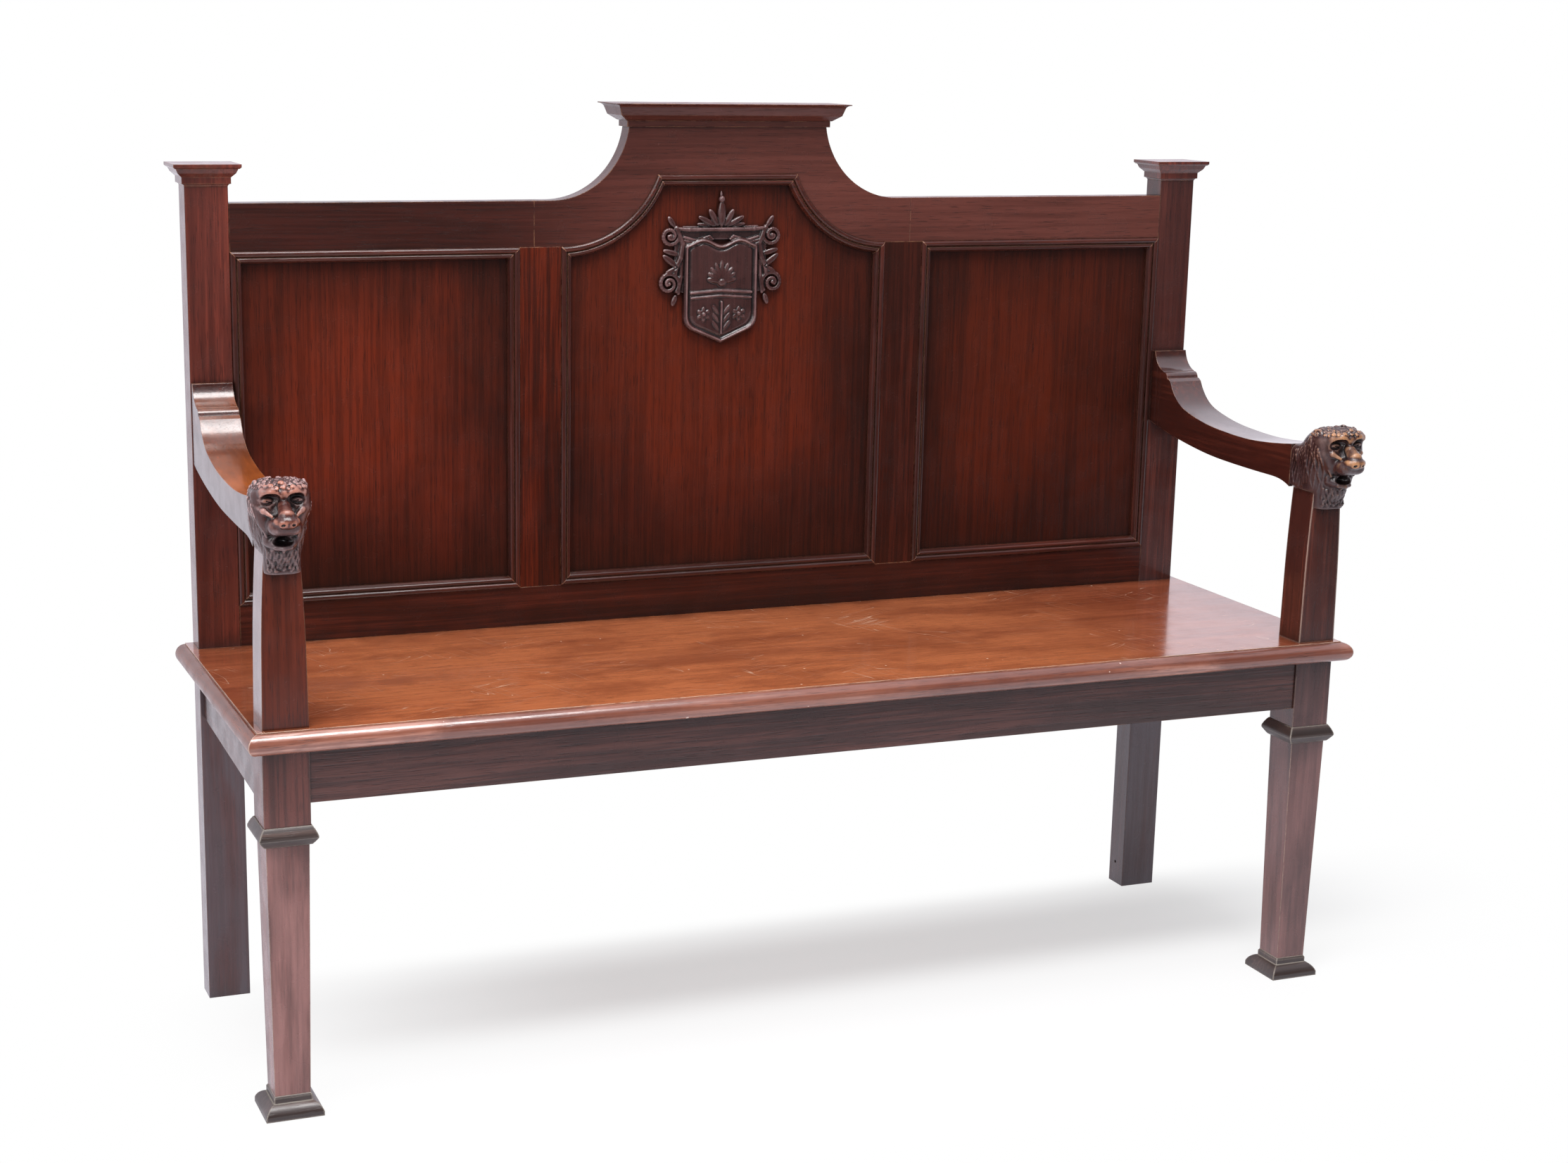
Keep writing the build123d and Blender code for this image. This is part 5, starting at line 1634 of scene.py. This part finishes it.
@dataclass
class Seat:
    """The seat board, its rounded edges and the rails and blocks under it.

    Attributes:
        dresser: puts the finishes on.
    """

    dresser: Dresser

    def dress(self) -> None:
        """Polishes the seat."""
        # Painted light: the seat board is lighter in its middle and darker towards its ends.
        board = PolishedWood("seat_polish", "seat_wood", (0.235, 0.052, 0.021), (0.430, 0.112, 0.048),
                             (0.600, 0.182, 0.070), worn=(0.85, 0.60, 0.44), seed=8.2, streaks=150.0,
                             roughness=0.16, specular=0.90, coat=0.7, mottle=0.50, wear=0.5, scratches=0.60,
                             nicks=0.10, residue=0.6, glow=Glow((-0.10, 0.0, 0.45), (0.66, 1.0, 1.0), 0.30))
        edge = PolishedWood("seat_edge_polish", "seat_wood", (0.150, 0.042, 0.026), (0.380, 0.140, 0.090),
                            (0.540, 0.270, 0.210), worn=(0.78, 0.58, 0.50), seed=5.5, streaks=150.0,
                            roughness=0.20, specular=1.0, coat=0.4, mottle=0.85, wear=0.8, nicks=0.14)
        ends = PolishedWood("seat_end_polish", "seat_wood", (0.120, 0.032, 0.015), (0.260, 0.070, 0.030),
                            (0.360, 0.110, 0.050), worn=(0.55, 0.33, 0.22), run=GrainRun.FRONT_TO_BACK,
                            seed=2.2, roughness=0.22, specular=0.55, wear=0.6)
        rail = PolishedWood("seat_rail_polish", "leg_wood", (0.026, 0.010, 0.008), (0.068, 0.020, 0.016),
                            (0.105, 0.034, 0.026), seed=9.4, specular=0.8)
        side = replace(rail, name="side_rail_polish", run=GrainRun.FRONT_TO_BACK, seed=4.4)
        self.dresser.dress(board, "seat_board")
        self.dresser.dress(edge, "seat_nosing_front")
        self.dresser.dress(ends, *pair("seat_nosing"))
        self.dresser.dress(rail, "front_seat_rail")
        self.dresser.dress(side, *pair("side_rail"))
        self.dresser.dress(RawWood("carcass_wood", "inner_wood"), "back_seat_rail", "corner_blocks",
                           *pair("cross_bearer"))
        self.dresser.dress(DullSteel("screw_steel", "screw_steel"), "seat_screws")


@dataclass
class FrontLegs:
    """The front legs with their collars and feet.

    Attributes:
        dresser: puts the finishes on.
    """

    dresser: Dresser

    def dress(self) -> None:
        """Polishes the legs."""
        # Painted reflection: the legs show a veil of the floor low down.
        leg = PolishedWood("leg_polish", "leg_wood", (0.040, 0.012, 0.009), (0.095, 0.024, 0.018),
                           (0.140, 0.038, 0.028), worn=(0.46, 0.32, 0.25), run=GrainRun.UPRIGHT, seed=3.3,
                           roughness=0.26, specular=0.8, wear=0.5, nicks=0.08,
                           bloom=PaintedFloorReflection((0.285, 0.125, 0.112), 0.24, 0.42, 0.96))
        # Painted shade: a darker copy of the leg polish for the right leg, with a darker painted floor
        # reflection.
        shaded = replace(leg, name="shaded_right_leg_polish", deep=(0.026, 0.010, 0.010), body=(0.052, 0.018, 0.016),
                         lit=(0.085, 0.028, 0.024), bloom=replace(leg.bloom, colour=(0.210, 0.092, 0.084)))
        foot = PolishedWood("foot_polish", "leg_wood", (0.026, 0.016, 0.014), (0.060, 0.034, 0.028),
                            (0.110, 0.062, 0.050), worn=(0.46, 0.40, 0.34), seed=6.6, roughness=0.36,
                            specular=0.8, wear=0.75, reach=0.003, nicks=0.16)
        self.dresser.dress(leg, "front_leg_left")
        self.dresser.dress(shaded, "front_leg_right")
        self.dresser.dress(foot, *pair("leg_collar"), *pair("leg_foot"))


@dataclass
class Arms:
    """The arms, their supports and the lion heads.

    Attributes:
        dresser: puts the finishes on.
        low: height up to which the heads show little rubbed wear and painted highlight, in metres.
        high: height from which they show it fully, in metres.
        snout: place along Y from which the snouts are worn ochre, in metres.
    """

    dresser: Dresser
    low: float = 0.663
    high: float = 0.690
    snout: float = -0.212

    def dress(self) -> None:
        """Polishes the arms and their supports."""
        arm = PolishedWood("arm_polish", "arm_wood", (0.030, 0.008, 0.006), (0.066, 0.015, 0.010),
                           (0.105, 0.024, 0.014), worn=(0.45, 0.22, 0.12), run=GrainRun.FRONT_TO_BACK,
                           seed=1.1, specular=0.8, coat=0.8, roughness=0.20, mottle=0.5)
        # Painted light with rubbed wear on the left arm's upper faces.
        rubbed = replace(arm, name="rubbed_lit_arm_polish", coat=0.45, rubbed_top=(0.480, 0.120, 0.024))
        support = PolishedWood("support_polish", "arm_wood", (0.075, 0.015, 0.008), (0.170, 0.029, 0.013),
                               (0.240, 0.046, 0.019), run=GrainRun.UPRIGHT, seed=7.1, wear=0.5, coat=0.8,
                               mottle=0.5)
        # Painted shade: a darker copy of the support polish for the right support, with more edge wear.
        shaded = replace(support, name="shaded_right_support_polish", deep=(0.040, 0.012, 0.010),
                         body=(0.090, 0.024, 0.017), lit=(0.140, 0.036, 0.024), worn=(0.62, 0.44, 0.36),
                         reach=0.0032, wear=1.0)
        self.dresser.dress(rubbed, "arm_left")
        self.dresser.dress(arm, "arm_right")
        self.dresser.dress(support, "arm_support_left")
        self.dresser.dress(shaded, "arm_support_right")
        self.carve_heads()

    def carve_heads(self) -> None:
        """Carves the lion heads, the left one as the mirror of the right one."""
        # The heads' high places carry a painted highlight with their wear, and their hollows painted shade
        # with dirt.
        left = CarvedWood("left_lion_polish", "carved_wood", (0.075, 0.020, 0.016), (0.430, 0.270, 0.265),
                          (0.430, 0.140, 0.075), rub=0.08, low=self.low, high=self.high, snout=self.snout,
                          grey=(0.120, 0.085, 0.090))
        right = CarvedWood("right_lion_polish", "carved_wood", (0.050, 0.019, 0.018), (0.215, 0.125, 0.105),
                           (0.500, 0.230, 0.095), low=self.low, high=self.high, snout=self.snout,
                           grey=(0.050, 0.032, 0.036))
        lion = LionHead()
        lion.carve()
        for name, outward, look in (("lion_head_left", -1, left), ("lion_head_right", 1, right)):
            made = lion.mesh("carved_" + name, footing(name), (outward, -1, 1))
            self.dresser.replace(name, made, look)


def main() -> None:
    """Builds the studio and dresses the bench."""
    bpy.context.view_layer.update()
    effects = Effects()
    effects.build()
    PortraitCamera().build()
    Studio().build()
    dresser = Dresser(effects)
    for assembly in (BackFrame(dresser), Panels(dresser), Seat(dresser), FrontLegs(dresser), Arms(dresser)):
        assembly.dress()
    log.info("bounds written")


if __name__ == "__main__":
    main()
